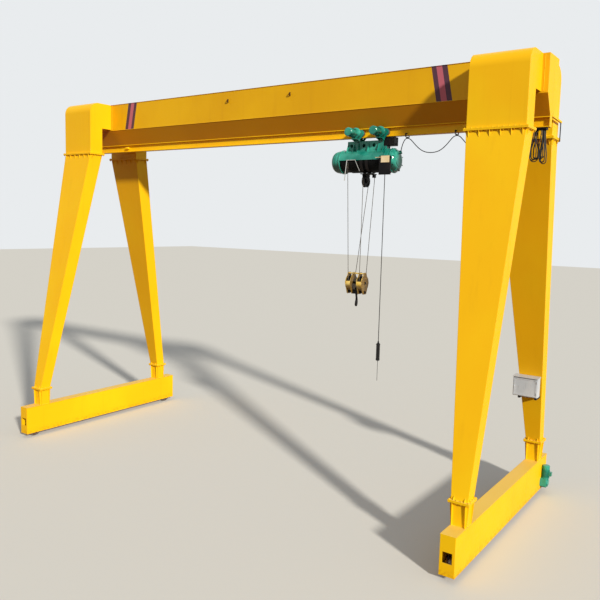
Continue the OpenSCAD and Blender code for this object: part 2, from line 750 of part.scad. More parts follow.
arm_z = track_top_z + 50;
arm_end_y = leg_top_y + 150;
arm_x = girder_half - 70;
arm_t = 40;
conduit_low_z = leg_top_z - 60;

// Half width of the girder at a height on its sloping plates
function slope_y(z) = girder_foot + (girder_w / 2 - girder_foot) * (z - track_top_z) / girder_slope_h;

module cable_arm() {
    color(yellow)
        along_x(arm_x - arm_t / 2, arm_x + arm_t / 2)
            polygon([[slope_y(arm_z) + seat, arm_z], [arm_end_y - 60, arm_z - 45], [arm_end_y, arm_z - 45],
                [arm_end_y, arm_z - 5], [slope_y(arm_z + 40) + seat, arm_z + 40]]);
}

// Hoist trolley

wheel_z = track_run_z + trolley_wheel_d / 2 + seat;
lip_y = track_w / 2 + flange_gap;
lip_w = 12;
plate_y = lip_y + lip_w + 10;
hanger_z = track_bottom_z - 60;
hanger_r = 24;
trolley_axle_r = 20;
shelf_z = wheel_z - trolley_case_d / 2 - 2;

plate_r = trolley_wheel_d / 2 + 5;
plate_low_z = hanger_z - 40;

// Two side plates that carry four wheels, a pin for the hoist, and a shelf under the travel motor
module bogie(x) {
    half = bogie_wheelbase / 2;
    out_y = plate_y + bogie_plate;
    color(teal) translate([x, 0, 0]) union() {
        for (face = [-1, 1]) mirror([0, face < 0 ? 1 : 0, 0])
            difference() {
                along_y(plate_y, out_y) difference() {
                    union() {
                        for (side = [-1, 1])
                            translate([side * half, wheel_z]) circle(r = plate_r);
                        translate([-half, wheel_z - plate_r]) square([2 * half, 2 * plate_r - 20]);
                        polygon([[-half - plate_r * 0.7, wheel_z - plate_r * 0.7], [-50, plate_low_z],
                            [50, plate_low_z], [half + plate_r * 0.7, wheel_z - plate_r * 0.7]]);
                    }
                    for (side = [-1, 1]) translate([side * half * 0.5, wheel_z - plate_r - 8]) circle(r = 16);
                }
                for (side = [-1, 1])
                    rod_y(trolley_axle_r + fit, plate_y - 1, out_y + 1, side * half, wheel_z);
            }
        rod_y(hanger_r, -out_y - 20, out_y + 20, 0, hanger_z);
        for (face = [-1, 1]) rod_y(hanger_r + 10, face < 0 ? -out_y - 9 : out_y - 1,
            face < 0 ? -out_y + 1 : out_y + 9, 0, hanger_z);
        block([-60, -out_y - 190, shelf_z - 10], [110, -out_y + 1, shelf_z]);
        for (side = [-50, 90]) along_x(side, side + 10)
            polygon([[-out_y + 1, shelf_z - 9], [-out_y - 150, shelf_z - 9], [-out_y + 1, plate_low_z + 6]]);
    }
}

module trolley_bogie_left() {
    bogie(bogies[0]);
}

module trolley_bogie_right() {
    bogie(bogies[1]);
}

module trolley_wheels() {
    color(steel_grey)
        for (x = bogies, side = [-1, 1], face = [-1, 1])
            translate([x + side * bogie_wheelbase / 2, 0, wheel_z]) mirror([0, face < 0 ? 1 : 0, 0])
                rotate([-90, 0, 0]) rotate_extrude($fn = 64) polygon([
                    [0, 30], [trolley_wheel_d / 2 - 4, 30], [trolley_wheel_d / 2, 34],
                    [trolley_wheel_d / 2, lip_y], [trolley_wheel_d / 2 + 8, lip_y],
                    [trolley_wheel_d / 2 + 12, lip_y + 5], [trolley_wheel_d / 2 + 12, lip_y + lip_w],
                    [trolley_wheel_d / 2 - 14, lip_y + lip_w], [trolley_wheel_d / 2 - 20, lip_y + 6],
                    [trolley_axle_r + 14, lip_y + 6], [trolley_axle_r + 10, plate_y - 1],
                    [trolley_axle_r, plate_y - 1], [trolley_axle_r, plate_y + bogie_plate + 12],
                    [0, plate_y + bogie_plate + 12]]);
}

// Travel motor that sits across the girder on its bogie: neck, gear case, finned body and fan cowl
module trolley_motor(x) {
    case_len = 62;
    neck = 34;
    color(teal) translate([x, -plate_y - bogie_plate - seat, wheel_z]) rotate([90, 0, 0]) union() {
        cylinder(r = 60, h = neck + 1);
        translate([0, 0, neck]) rotate_extrude($fn = 64) polygon([[0, 0], [trolley_case_d / 2 - 8, 0],
            [trolley_case_d / 2, 8], [trolley_case_d / 2, 30], [trolley_case_d / 2 - 6, 33],
            [trolley_case_d / 2 - 6, case_len - 8], [trolley_case_d / 2 - 16, case_len], [0, case_len]]);
        for (i = [0:5]) rotate([0, 0, 60 * i])
            translate([trolley_case_d / 2 - 8, 0, neck + 12]) cylinder(r = 12, h = 30);
        translate([0, 0, neck + case_len - 1]) finned_motor(trolley_motor_d / 2, trolley_motor_len);
    }
}

module trolley_motor_left() {
    trolley_motor(bogies[0]);
}

module trolley_motor_right() {
    trolley_motor(bogies[1]);
}

// Hoist

frame_top_z = hanger_z - 20;
frame_step_z = drum_z + 350;
frame_x0 = bogies[0] - 260;
frame_step_x = bogies[1] + 60;
frame_x1 = max(shell_x1 - 20, frame_step_x + 90);
lug_r = 45;
saddles = [frame_x0 + 20, bogies[0] - 60, bogies[0] + 60, trolley_x, bogies[1] - 60, frame_step_x, frame_x1 - 20];

// Suspension frame: two side plates that hang on the bogies' pins, with saddle plates on the shell
module hoist_frame() {
    bore = hanger_r + fit;
    color(teal) difference() {
        union() {
            for (side = [-1, 1])
                along_y(side * frame_y - frame_plate / 2, side * frame_y + frame_plate / 2) {
                    polygon([[frame_x0, drum_z], [frame_x1, drum_z], [frame_x1, frame_step_z],
                        [frame_step_x + 20, frame_step_z], [frame_step_x, frame_step_z + 20],
                        [frame_step_x, frame_top_z], [frame_x0, frame_top_z]]);
                    for (x = bogies) translate([x, hanger_z]) circle(r = lug_r);
                }
            for (x = saddles) let (top = x >= frame_step_x ? frame_step_z : frame_top_z - 10)
                along_x(x - 5, x + 5) polygon([[-frame_y, top], [frame_y, top], [frame_y + 110, drum_z + 215],
                    [frame_y + 110, drum_z], [-frame_y - 110, drum_z], [-frame_y - 110, drum_z + 215]]);
            for (x = bogies) rod_y(lug_r - 6, -frame_y, frame_y, x, hanger_z);
        }
        rod_x(shell_r + seat, frame_x0 - 1, frame_x1 + 1, 0, drum_z);
        rod_x(rim_r + seat, shell_x1 - 14, max(shell_x1, frame_x1) + 1, 0, drum_z);
        for (x = bogies) rod_y(bore, -frame_y - 20, frame_y + 20, x, hanger_z);
        along_y(-frame_y - 20, frame_y + 20)
            for (x = [(frame_x0 + bogies[0] - 60) / 2 + 10, (bogies[0] + 60 + trolley_x) / 2, (trolley_x + bogies[1] - 60) / 2])
                translate([x, frame_top_z - 110]) circle(r = 45);
    }
}

// Drum shell: a tube open below, with rims at its ends and folded lower edges
edge_out = 8;

module hoist_shell() {
    rim_w = 12;
    color(teal) union() {
        difference() {
            union() {
                rod_x(shell_r, shell_x0, shell_x1, 0, drum_z, $fn = 96);
                for (x = [shell_x0, shell_x1 - rim_w]) rod_x(rim_r, x, x + rim_w, 0, drum_z, $fn = 96);
            }
            rod_x(shell_r - shell_t, shell_x0 - 1, shell_x1 + 1, 0, drum_z, $fn = 96);
            block([shell_x0 + rim_w, -rim_r - 1, drum_z - rim_r - 1],
                [shell_x1 - rim_w, rim_r + 1, drum_z + shell_edge_up]);
        }
        for (side = [-1, 1]) mirror([0, side < 0 ? 1 : 0, 0])
            block([shell_x0 + rim_w - 1, shell_r - shell_t + 1, drum_z + shell_edge_up],
                [shell_x1 - rim_w + 1, shell_r + edge_out, drum_z + shell_edge_up + 12]);
    }
}

// Rope drum with a groove for each turn of rope, two end flanges and its shaft
groove_pitch = rope_d + 2;
groove_x0 = shell_x0 + 70;
groove_count = floor((shell_len - 150) / groove_pitch);

module hoist_drum() {
    color(steel_black) union() {
        translate([shell_x0, 0, drum_z]) rotate([0, 90, 0]) rotate_extrude($fn = 96) polygon(concat(
            [[0, 50], [drum_flange_r, 50], [drum_flange_r, 62], [drum_r, 66]],
            [for (i = [0:groove_count - 1], k = [0, 1, 2])
                [k == 1 ? drum_r - rope_d * 0.3 : drum_r, groove_x0 - shell_x0 + (i + k * 0.46) * groove_pitch]],
            [[drum_r, shell_len - 66], [drum_flange_r, shell_len - 62], [drum_flange_r, shell_len - 50], [0, shell_len - 50]]));
        rod_x(40, shell_x0 + seat, shell_x1 - seat, 0, drum_z);
    }
}

// Quarter round from [r0, z] to [r1, z + h] in n steps
function round_over(r0, r1, z, h, n = 8) = [for (i = [0:n]) [r1 + (r0 - r1) * cos(90 * i / n), z + h * sin(90 * i / n)]];

module hoist_motor() {
    body = shell_r - 8;
    color(teal) translate([shell_x0, 0, drum_z]) rotate([0, -90, 0]) union() {
        rotate_extrude($fn = 96) polygon(concat([[0, 0], [rim_r, 0], [rim_r, 22], [rim_r - 8, 26]],
            [[body, 30], [body, motor_len * 0.4], [body - 10, motor_len * 0.4 + 6], [body - 10, motor_len * 0.5]],
            round_over(body - 10, 165, motor_len * 0.5, motor_len * 0.5 - 24),
            [[158, motor_len - 24], [150, motor_len - 8], [130, motor_len], [0, motor_len]]));
        for (i = [0:5]) rotate([0, 0, 60 * i + 30]) translate([body - 22, -14, 18]) cube([26, 28, 50]);
    }
}

module hoist_gearbox() {
    body = shell_r - 4;
    joint = gearbox_len * 0.52;
    color(teal) union() {
        translate([shell_x1, 0, drum_z]) rotate([0, 90, 0]) union() {
            rotate_extrude($fn = 96) polygon(concat([[0, 0], [rim_r, 0], [rim_r, 22], [body, 26],
                [body, joint - 16], [rim_r, joint - 12], [rim_r, joint + 12], [body - 6, joint + 16]],
                round_over(body - 6, 150, joint + 20, gearbox_len - joint - 30),
                [[140, gearbox_len - 10], [132, gearbox_len], [0, gearbox_len]]));
            for (i = [0:7]) rotate([0, 0, 45 * i + 22.5])
                translate([100, -6, joint]) cube([body - 118, 12, gearbox_len - joint - 22]);
        }
        translate([shell_x1 + joint - 60, 0, drum_z + body - 12]) cylinder(r = 20, h = 34);
        rod_x(22, shell_x1 + gearbox_len - 80, gland_x + 22, 0, gland_z - 50);
        translate([gland_x, 0, gland_z - 50]) cylinder(r = 18, h = 50);
    }
}

box_x = trolley_x + 430;
box_w = 300;
box_h = 440;
box_low_z = drum_z - 350;
box_back_y = -rim_r - seat;
box_front_y = box_back_y - 55;

// Control box on the front of the shell, with a lid and the pendant's gland
module hoist_control_box() {
    color(steel_black) union() {
        block([box_x, box_front_y + 8, box_low_z], [box_x + box_w, box_back_y, box_low_z + box_h]);
        block([box_x + 8, box_front_y, box_low_z + 8], [box_x + box_w - 8, box_front_y + 9, box_low_z + box_h - 8]);
        for (z = [box_low_z + 40, box_low_z + box_h - 60])
            block([box_x - 18, box_back_y - 14, z], [box_x + box_w + 18, box_back_y, z + 24]);
    }
}

plate_low = [60, 282];
plate_size = [220, 156];

// Pale plate on the control box, and the flat bar that ties the box to the shell
module hoist_label_plate() {
    color(cream) union() {
        block([box_x + plate_low[0], box_front_y - 8, box_low_z + plate_low[1]],
            [box_x + plate_low[0] + plate_size[0], box_front_y, box_low_z + plate_low[1] + plate_size[1]]);
        block([box_x - 100, box_front_y - 8, drum_z + 50], [box_x + plate_low[0] + 1, box_front_y, drum_z + 62]);
    }
}

// Box on the frame beside the right bogie, where the festoon cable is joined on
terminal_size = [270, 2 * frame_y + 20, 200];

module cable_terminal_box() {
    low = [frame_step_x + 24, -terminal_size[1] / 2, frame_step_z + seat];
    color(steel_black) union() {
        block(low, low + terminal_size);
        for (x = spread(5, 90, terminal_size[0] - 24))
            block(low + [x - 7, -8, 10], low + [x + 7, 1, terminal_size[2] - 10]);
        translate(low + [terminal_size[0] - 1, terminal_size[1] / 2, 40]) rotate([0, 90, 0]) cylinder(r = 16, h = 24);
    }
}

// Upper pulley in a yoke that hangs below the drum from two straps round the shell

pulley_x = trolley_x - pulley_left;
pulley_z = drum_z - pulley_drop;
pulley_groove = pulley_r - 22;
pulley_half = 45;
pulley_pin_r = 25;
yoke_plate = 12;
yoke_low_z = drum_z - shell_r - 30;
anchor_x = pulley_x + 150;
anchor_y = sheave_r;

module upper_pulley() {
    color(steel_black)
        translate([pulley_x, 0, pulley_z]) rotate([0, 90, 0]) union() {
            rotate_extrude($fn = 64) polygon([[0, -pulley_half + 4], [pulley_pin_r + 24, -pulley_half + 4],
                [pulley_pin_r + 28, -16], [pulley_groove - 22, -16], [pulley_groove - 12, -pulley_half + 10],
                [pulley_r, -pulley_half + 10], [pulley_groove, -9], [pulley_groove, 9],
                [pulley_r, pulley_half - 10], [pulley_groove - 12, pulley_half - 10], [pulley_groove - 22, 16],
                [pulley_pin_r + 28, 16], [pulley_pin_r + 24, pulley_half - 4], [0, pulley_half - 4]]);
            cylinder(r = pulley_pin_r, h = 2 * (pulley_half + yoke_plate) + 20, center = true);
        }
}

module pulley_yoke() {
    strap_r = shell_r + seat;
    color(steel_black) union() {
        for (x = [pulley_x, anchor_x]) along_x(x - 35, x + 35) translate([0, drum_z]) difference() {
            circle(r = strap_r + 12, $fn = 96);
            circle(r = strap_r, $fn = 96);
            translate([-strap_r - 20, shell_edge_up - seat]) square(2 * strap_r + 40);
        }
        block([pulley_x - 75, -anchor_y, yoke_low_z], [anchor_x + 60, anchor_y, yoke_low_z + 20]);
        for (side = [-1, 1]) difference() {
            along_x(pulley_x + side * (pulley_half + yoke_plate / 2) - yoke_plate / 2,
                pulley_x + side * (pulley_half + yoke_plate / 2) + yoke_plate / 2) {
                polygon([[-95, yoke_low_z + 18], [-pulley_pin_r - 35, pulley_z], [pulley_pin_r + 35, pulley_z],
                    [95, yoke_low_z + 18]]);
                translate([0, pulley_z]) circle(r = pulley_pin_r + 36);
            }
            rod_x(pulley_pin_r + fit, pulley_x - 200, pulley_x + 200, 0, pulley_z);
        }
        along_x(pulley_x - pulley_half - 1, pulley_x + pulley_half + 1) translate([0, pulley_z]) difference() {
            circle(r = pulley_r + 16, $fn = 64);
            circle(r = pulley_r + 8, $fn = 64);
            translate([-pulley_r - 20, -pulley_r - 20]) square([2 * pulley_r + 40, 1.62 * pulley_r + 20]);
            translate([-pulley_groove - rope_d - 12, 0]) square([30 + rope_d, pulley_r + 20]);
            translate([pulley_groove - 14, 0]) square([30 + rope_d, pulley_r + 20]);
        }
        block([anchor_x - 25, anchor_y - 75, yoke_low_z - 70], [anchor_x + 25, anchor_y + 25, yoke_low_z + 10]);
    }
}

// Limit switch on the shell's front edge: a shaft with a long lever and a shorter one
lever_x = shell_x0 + 245;
lever_shaft_len = 240;
lever_y = -rim_r - 6;

module limit_lever() {
    shaft_z = drum_z + shell_edge_up + 6;
    // Flat bar in front of the drum from [x, z] to [x, z]
    module bar(from, to, half) {
        along_y(lever_y - 3, lever_y + 3)
            polygon([[from[0] - half, from[1]], [to[0] - half, to[1]], [to[0] + half, to[1]], [from[0] + half, from[1]]]);
    }
    color("silver") union() {
        rod_x(7, lever_x - 22, lever_x + lever_shaft_len, lever_y, shaft_z);
        bar([lever_x, shaft_z], [lever_x - 58, shaft_z - lever_len], 10);
        bar([lever_x + lever_shaft_len - 10, shaft_z], [lever_x + lever_shaft_len + 130, shaft_z - lever_len * 0.54], 6);
        for (at = [lever_x + 20, lever_x + lever_shaft_len - 40])
            block([at - 12, lever_y - 9, shaft_z - 6], [at + 12, -shell_r - edge_out - seat, shaft_z + 6]);
    }
}

block_x = trolley_x - block_left;
sheave_x = [block_x - sheave_gap / 2, block_x + sheave_gap / 2];

module wire_rope_falls() {
    pulley_y = pulley_groove + rope_d / 2 + seat;
    tops = [[sheave_x[0] - 60, -drum_r - rope_d / 2 - seat, drum_z - 1],
        [pulley_x, pulley_y, pulley_z + 10], [pulley_x, -pulley_y, pulley_z + 10],
        [anchor_x, anchor_y, yoke_low_z - 70]];
    feet = [[sheave_x[0], -sheave_r, block_z], [sheave_x[0], sheave_r, block_z],
        [sheave_x[1], -sheave_r, block_z], [sheave_x[1], sheave_r, block_z]];
    color(steel_black)
        for (i = [0:3])
            tube([feet[i], feet[i] + [0, 0, 60], tops[i] - [0, 0, 60], tops[i]], rope_d / 2, [0, 1, 0], 12);
}

// Pendant control that hangs from the hoist's control box

pendant_size = [80, 70];
pendant_boot = 60;
pendant_top_z = pendant_heights[len(pendant_heights) - 1];
pendant_low_z = pull_heights[0];
button_count = 6;

module pendant_cable() {
    color(cable_black)
        tube([for (z = pendant_heights) [pendant_at[0], pendant_at[1], z]], 9, [0, 1, 0]);
}

module pendant_control() {
    w = pendant_size[0] / 2;
    d = pendant_size[1] / 2;
    cut = 14;
    body_low = pendant_low_z + 20;
    body_top = pendant_top_z - pendant_boot;
    color(steel_black) translate([pendant_at[0], pendant_at[1], 0]) union() {
        translate([0, 0, body_low]) linear_extrude(body_top - body_low)
            polygon([[-w, -d + cut], [-w + cut, -d], [w - cut, -d], [w, -d + cut],
                [w, d - cut], [w - cut, d], [-w + cut, d], [-w, d - cut]]);
        for (z = [body_low + 26, body_top - 36]) translate([0, 0, z]) linear_extrude(10)
            square([2 * w + 8, 2 * d - 8], center = true);
        translate([0, 0, body_top - 1]) rotate_extrude() polygon([[0, 0], [30, 0], [28, 12], [20, 20], [18, pendant_boot - 8],
            [14, pendant_boot + 1], [0, pendant_boot + 1]]);
        translate([0, 0, pendant_low_z]) cylinder(r = 11, h = 21);
        for (z = spread(button_count, body_low + 70, body_top - 120))
            translate([0, -d + 1, z]) rotate([90, 0, 0]) cylinder(r = 14, h = 11);
        translate([0, -d + 1, body_top - 64]) rotate([90, 0, 0]) {
            cylinder(r = 11, h = 16);
            translate([0, 0, 12]) cylinder(r = 20, h = 12);
        }
    }
}

module pendant_pull_cord() {
    color(cable_black)
        tube([for (z = pull_heights) [pendant_at[0], pendant_at[1], z]], 5, [0, 1, 0]);
}

// Hook block

cage_half = 62;
cage_plate = 10;
frame_r = sheave_r + 30;
crosshead_z = block_z - 230;
block_half = sheave_gap / 2 + cage_half + cage_plate;
strap_t = 10;
pin_r = 30;

// Outline of a cage plate: round at the sheave, with a neck above it and a foot for the crosshead
module cage_outline() {
    translate([0, block_z]) circle(r = frame_r, $fn = 64);
    polygon([[-frame_r + 20, block_z + 20], [-110, block_z + frame_r - 40], [-62, block_z + frame_r + 72],
        [62, block_z + frame_r + 72], [110, block_z + frame_r - 40], [frame_r - 20, block_z + 20]]);
    polygon([[-frame_r + 6, block_z - 30], [-95, crosshead_z - 30], [-75, crosshead_z - 52],
        [75, crosshead_z - 52], [95, crosshead_z - 30], [frame_r - 6, block_z - 30]]);
}

// Cage of two plates and a guard round one sheave, with straps across its outer side
module sheave_cage(x, out) {
    difference() {
        union() {
            for (side = [-1, 1]) along_x(x + side * (cage_half + cage_plate / 2) - cage_plate / 2,
                x + side * (cage_half + cage_plate / 2) + cage_plate / 2) cage_outline();
            along_x(x - cage_half - 1, x + cage_half + 1) translate([0, block_z]) difference() {
                circle(r = frame_r, $fn = 64);
                circle(r = frame_r - 8, $fn = 64);
                translate([-300, -100]) square([600, 400]);
            }
            for (dz = [-100, 0, 100]) let (half = sqrt(frame_r * frame_r - dz * dz) - 12)
                along_x(out < 0 ? x - cage_half - cage_plate - strap_t : x + cage_half + cage_plate - 1,
                    out < 0 ? x - cage_half - cage_plate + 1 : x + cage_half + cage_plate + strap_t)
                    translate([-half, block_z + dz - 15]) square([2 * half, 30]);
        }
        rod_x(pin_r + fit, x - 400, x + 400, 0, block_z);
        rod_x(pin_r + fit, x - 400, x + 400, 0, crosshead_z);
    }
}

module hook_block_frame() {
    color(block_yellow) union() {
        for (side = [-1, 1]) sheave_cage(block_x + side * sheave_gap / 2, side);
        for (y = [-38, 38]) rod_x(14, block_x - block_half - 6, block_x + block_half + 6, y, block_z + frame_r + 45);
    }
}

module hook_block_sheaves() {
    groove = sheave_r - rope_d / 2 - seat;
    rim = sheave_r + 14;
    half = 32;
    web = 14;
    color(steel_black) union() {
        for (x = sheave_x)
            translate([x, 0, block_z]) rotate([0, 90, 0])
                rotate_extrude($fn = 64) polygon([[0, -cage_half + 4], [pin_r + 26, -cage_half + 4], [pin_r + 30, -web],
                    [groove - 24, -web], [groove - 12, -half], [rim, -half],
                    [groove, -9], [groove, 9], [rim, half], [groove - 12, half], [groove - 24, web],
                    [pin_r + 30, web], [pin_r + 26, cage_half - 4], [0, cage_half - 4]]);
        rod_x(pin_r, block_x - block_half - 20, block_x + block_half + 20, 0, block_z);
    }
}

module hook_crosshead() {
    half = sheave_gap / 2 - cage_half - cage_plate - seat;
    color(steel_black) difference() {
        union() {
            along_x(block_x - half, block_x + half) polygon([[-65, crosshead_z - 38], [-50, crosshead_z - 50],
                [50, crosshead_z - 50], [65, crosshead_z - 38], [65, crosshead_z + 38], [50, crosshead_z + 50],
                [-50, crosshead_z + 50], [-65, crosshead_z + 38]]);
            rod_x(pin_r, block_x - block_half - 20, block_x + block_half + 20, 0, crosshead_z);
        }
        translate([block_x, 0, crosshead_z - 100]) cylinder(r = shank_d / 2 + fit, h = 200);
    }
}

hook_z = crosshead_z - 225;
hook_turn = 115;

// Forged hook that tapers from its bowl to its point and its shank, with a latch across its mouth
module hook() {
    bowl = hook_body / 2;
    shank = shank_d / 2;
    function swell(a) = a < 0 ? bowl * (1 - 0.62 * pow(-a / 110, 1.7))
        : a < 50 ? bowl : bowl + (shank - bowl) * (a - 50) / 85;
    arc = [for (a = [-110:12.25:135]) [swell(a), (hook_throat_r + swell(a)) * [sin(a), -cos(a)]]];
    c = hook_throat_r + shank;
    neck = [[shank, c * [0.50, 0.90]], [shank, c * [0.25, 1.10]], [shank, c * [0.07, 1.32]], [shank, c * [0, 1.56]]];
    tip = [[bowl * 0.14, (hook_throat_r + bowl * 0.42) * [sin(-119), -cos(-119)]],
        [bowl * 0.3, (hook_throat_r + bowl * 0.40) * [sin(-116), -cos(-116)]]];
    rings = concat(tip, arc, neck);
    color(steel_black) translate([block_x, 0, hook_z]) rotate([0, 0, hook_turn]) union() {
        tube([for (g = rings) [g[1][0], 0, g[1][1]]], [for (g = rings) g[0]], [0, 1, 0], 20, 0.86);
        translate([0, 0, c * 1.5]) cylinder(r = shank, h = crosshead_z + 50 - hook_z - c * 1.5 + 60);
        translate([0, 0, crosshead_z + 50 + seat - hook_z]) cylinder(r = shank + 22, h = 12);
        translate([0, 0, crosshead_z + 61 + seat - hook_z]) cylinder(r = shank + 20, h = 38, $fn = 6);
        along_y(-13, 13) polygon([[-20, c * 0.98], [-c * 0.76, c * 0.30], [-c * 0.83, c * 0.34], [-26, c * 1.09]]);
    }
}

girder_box();
girder_track_beam();
girder_end_plates();
track_stops();
corner(-1, -1) head();  // leg_head_front_left
corner(1, -1) head();  // leg_head_front_right
corner(-1, 1) head();  // leg_head_back_left
corner(1, 1) head();  // leg_head_back_right
corner(-1, -1) leg();  // leg_front_left
corner(1, -1) leg();  // leg_front_right
corner(-1, 1) leg();  // leg_back_left
corner(1, 1) leg();  // leg_back_right
corner(-1, -1) foot();  // leg_foot_front_left
corner(1, -1) foot();  // leg_foot_front_right
corner(-1, 1) foot();  // leg_foot_back_left
corner(1, 1) foot();  // leg_foot_back_right
corner(-1, 1) ground_beam();  // ground_beam_left
corner(1, 1) ground_beam();  // ground_beam_right
corner(-1, 1) travel_wheels();  // travel_wheels_left
corner(1, 1) travel_wheels();  // travel_wheels_right
corner(-1, 1) travel_drive();  // travel_drive_left
corner(1, 1) travel_drive();  // travel_drive_right
control_cabinet();
cabinet_bracket();
cable_arm();
festoon_clamp();
festoon_loops();
festoon_bundle();
cable_carrier_1();
cable_carrier_2();
trolley_bogie_left();
trolley_bogie_right();
trolley_wheels();
trolley_motor_left();
trolley_motor_right();
hoist_frame();
hoist_shell();
hoist_drum();
hoist_motor();
hoist_gearbox();
hoist_control_box();
hoist_label_plate();
cable_terminal_box();
upper_pulley();
pulley_yoke();
limit_lever();
wire_rope_falls();
pendant_cable();
pendant_control();
pendant_pull_cord();
hook_block_frame();
hook_block_sheaves();
hook_crosshead();
hook();
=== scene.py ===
import json
import math
from functools import partial

import bpy
import numpy as np
from mathutils import Matrix, Vector


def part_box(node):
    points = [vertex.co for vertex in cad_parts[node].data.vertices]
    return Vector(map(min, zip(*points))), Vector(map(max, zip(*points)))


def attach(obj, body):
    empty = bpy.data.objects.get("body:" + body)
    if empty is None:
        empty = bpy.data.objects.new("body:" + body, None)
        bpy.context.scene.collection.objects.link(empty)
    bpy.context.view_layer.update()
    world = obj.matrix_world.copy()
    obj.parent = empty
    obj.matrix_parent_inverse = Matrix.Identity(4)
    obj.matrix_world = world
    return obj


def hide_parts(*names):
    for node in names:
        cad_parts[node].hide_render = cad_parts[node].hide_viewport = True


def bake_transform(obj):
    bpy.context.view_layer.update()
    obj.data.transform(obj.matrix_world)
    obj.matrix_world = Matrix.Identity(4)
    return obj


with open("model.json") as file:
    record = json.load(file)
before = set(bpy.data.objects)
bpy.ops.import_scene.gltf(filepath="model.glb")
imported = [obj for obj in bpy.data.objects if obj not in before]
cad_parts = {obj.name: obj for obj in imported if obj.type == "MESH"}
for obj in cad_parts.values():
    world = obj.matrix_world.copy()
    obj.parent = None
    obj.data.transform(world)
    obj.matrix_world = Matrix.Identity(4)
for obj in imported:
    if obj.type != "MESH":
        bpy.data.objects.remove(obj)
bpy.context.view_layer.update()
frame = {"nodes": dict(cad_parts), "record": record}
nodes = frame["nodes"]
scene = bpy.context.scene
print("frame loaded: %d nodes" % len(nodes))


# Camera at the photograph's place

cameraSpec = {
    "place": (11.531, -14.713, 6.728),
    "turn": 35.097,        # degrees to the left of straight along the +Y axis
    "tilt": -6.404,        # degrees, downwards
    "roll": 1.468,         # degrees
    "focalPixels": 674.66,
    "framePixels": 600,    # each side of the photograph's frame
    "sensor": 36.0,        # millimetres
    "farClip": 500.0,
}


# Turned about Z, tilted, then rolled: ahead is the view, and right and up are the frame's directions
def placeCamera(spec):
    turn, tilt, roll = (math.radians(spec[key]) for key in ("turn", "tilt", "roll"))
    ahead = Vector((-math.sin(turn) * math.cos(tilt), math.cos(turn) * math.cos(tilt), math.sin(tilt)))
    level = Vector((math.cos(turn), math.sin(turn), 0.0))
    over = level.cross(ahead)
    right = level * math.cos(roll) + over * math.sin(roll)
    up = over * math.cos(roll) - level * math.sin(roll)
    data = bpy.data.cameras.new("photoCamera")
    data.sensor_width = spec["sensor"]
    data.lens = spec["focalPixels"] / spec["framePixels"] * spec["sensor"]
    data.clip_end = spec["farClip"]
    camera = bpy.data.objects.new("photoCamera", data)
    axes = Matrix((right, up, -ahead)).transposed().to_4x4()
    camera.matrix_world = Matrix.Translation(spec["place"]) @ axes
    scene.collection.objects.link(camera)
    scene.camera = camera


placeCamera(cameraSpec)
scene.view_settings.view_transform = "Standard"


# Shapes are (points, quads, triangles) arrays until meshPiece makes an object of them

# Index of each quad's corners on a grid of rows and columns, whose last column meets its first
def gridQuads(rows, columns):
    row = np.arange(rows - 1)[:, None]
    column = np.arange(columns)[None, :]
    beside = (column + 1) % columns
    corners = [row * columns + column, row * columns + beside,
               (row + 1) * columns + beside, (row + 1) * columns + column]
    return np.stack(np.broadcast_arrays(*corners), -1).reshape(-1, 4)


# A grid of rings closed at both ends by a fan of triangles round the mean of its end ring
def cappedRings(rings):
    rows, columns = rings.shape[:2]
    points = np.concatenate([rings.reshape(-1, 3), rings[[0, -1]].mean(1)])
    k = np.arange(columns)
    beside = (k + 1) % columns
    low = np.stack([np.full(columns, rows * columns), beside, k], -1)
    last = (rows - 1) * columns
    high = np.stack([np.full(columns, rows * columns + 1), last + k, last + beside], -1)
    return points, gridQuads(rows, columns), np.concatenate([low, high])


# Surface about Z: the profile's radius, times the stretch for its row and angle, times the cosine and sine of
# the angle
def revolved(profile, angle, stretch):
    radius, height = np.asarray(profile, float).T
    reach = radius[:, None] * stretch
    level = np.broadcast_to(height[:, None], stretch.shape)
    return cappedRings(np.stack([reach * np.cos(angle), reach * np.sin(angle), level], -1))


# Circle of the given radius carried square to a route; across is a direction that the route never takes
def tubeAlong(route, radius, sides, across=(0, 1, 0)):
    route = np.asarray(route, float)
    ahead = np.gradient(route, axis=0)
    ahead /= np.linalg.norm(ahead, axis=1, keepdims=True)
    side = np.cross(ahead, across)
    side /= np.linalg.norm(side, axis=1, keepdims=True)
    over = np.cross(ahead, side)
    angle = np.arange(sides) * 2 * np.pi / sides
    radius = np.broadcast_to(radius, len(route))[:, None, None]
    rings = route[:, None, :] + radius * (side[:, None, :] * np.cos(angle)[:, None]
                                          + over[:, None, :] * np.sin(angle)[:, None])
    return cappedRings(rings)


# Smooth curve through points: a cubic between each two, whose slope at a point is half the way from the point
# before it to the point after it
def smoothRoute(points, steps):
    p = np.asarray(points, float)
    p = np.concatenate([[2 * p[0] - p[1]], p, [2 * p[-1] - p[-2]]])
    a, b, c, d = (p[i:len(p) - 3 + i, None, :] for i in range(4))
    t = (np.arange(steps) / steps)[None, :, None]
    curve = 0.5 * (2 * b + (c - a) * t + (2 * a - 5 * b + 4 * c - d) * t ** 2
                   + (3 * b - a - 3 * c + d) * t ** 3)
    return np.concatenate([curve.reshape(-1, 3), p[-2:-1]])


# How far along straight lines between corners each corner lies
def cornerDistances(corners):
    return np.concatenate([[0], np.cumsum(np.linalg.norm(np.diff(corners, axis=0), axis=1))])


# Points at given distances along those lines
def pointsAlong(corners, distances):
    reached = cornerDistances(corners)
    return np.stack([np.interp(distances, reached, corners[:, k]) for k in range(3)], 1)


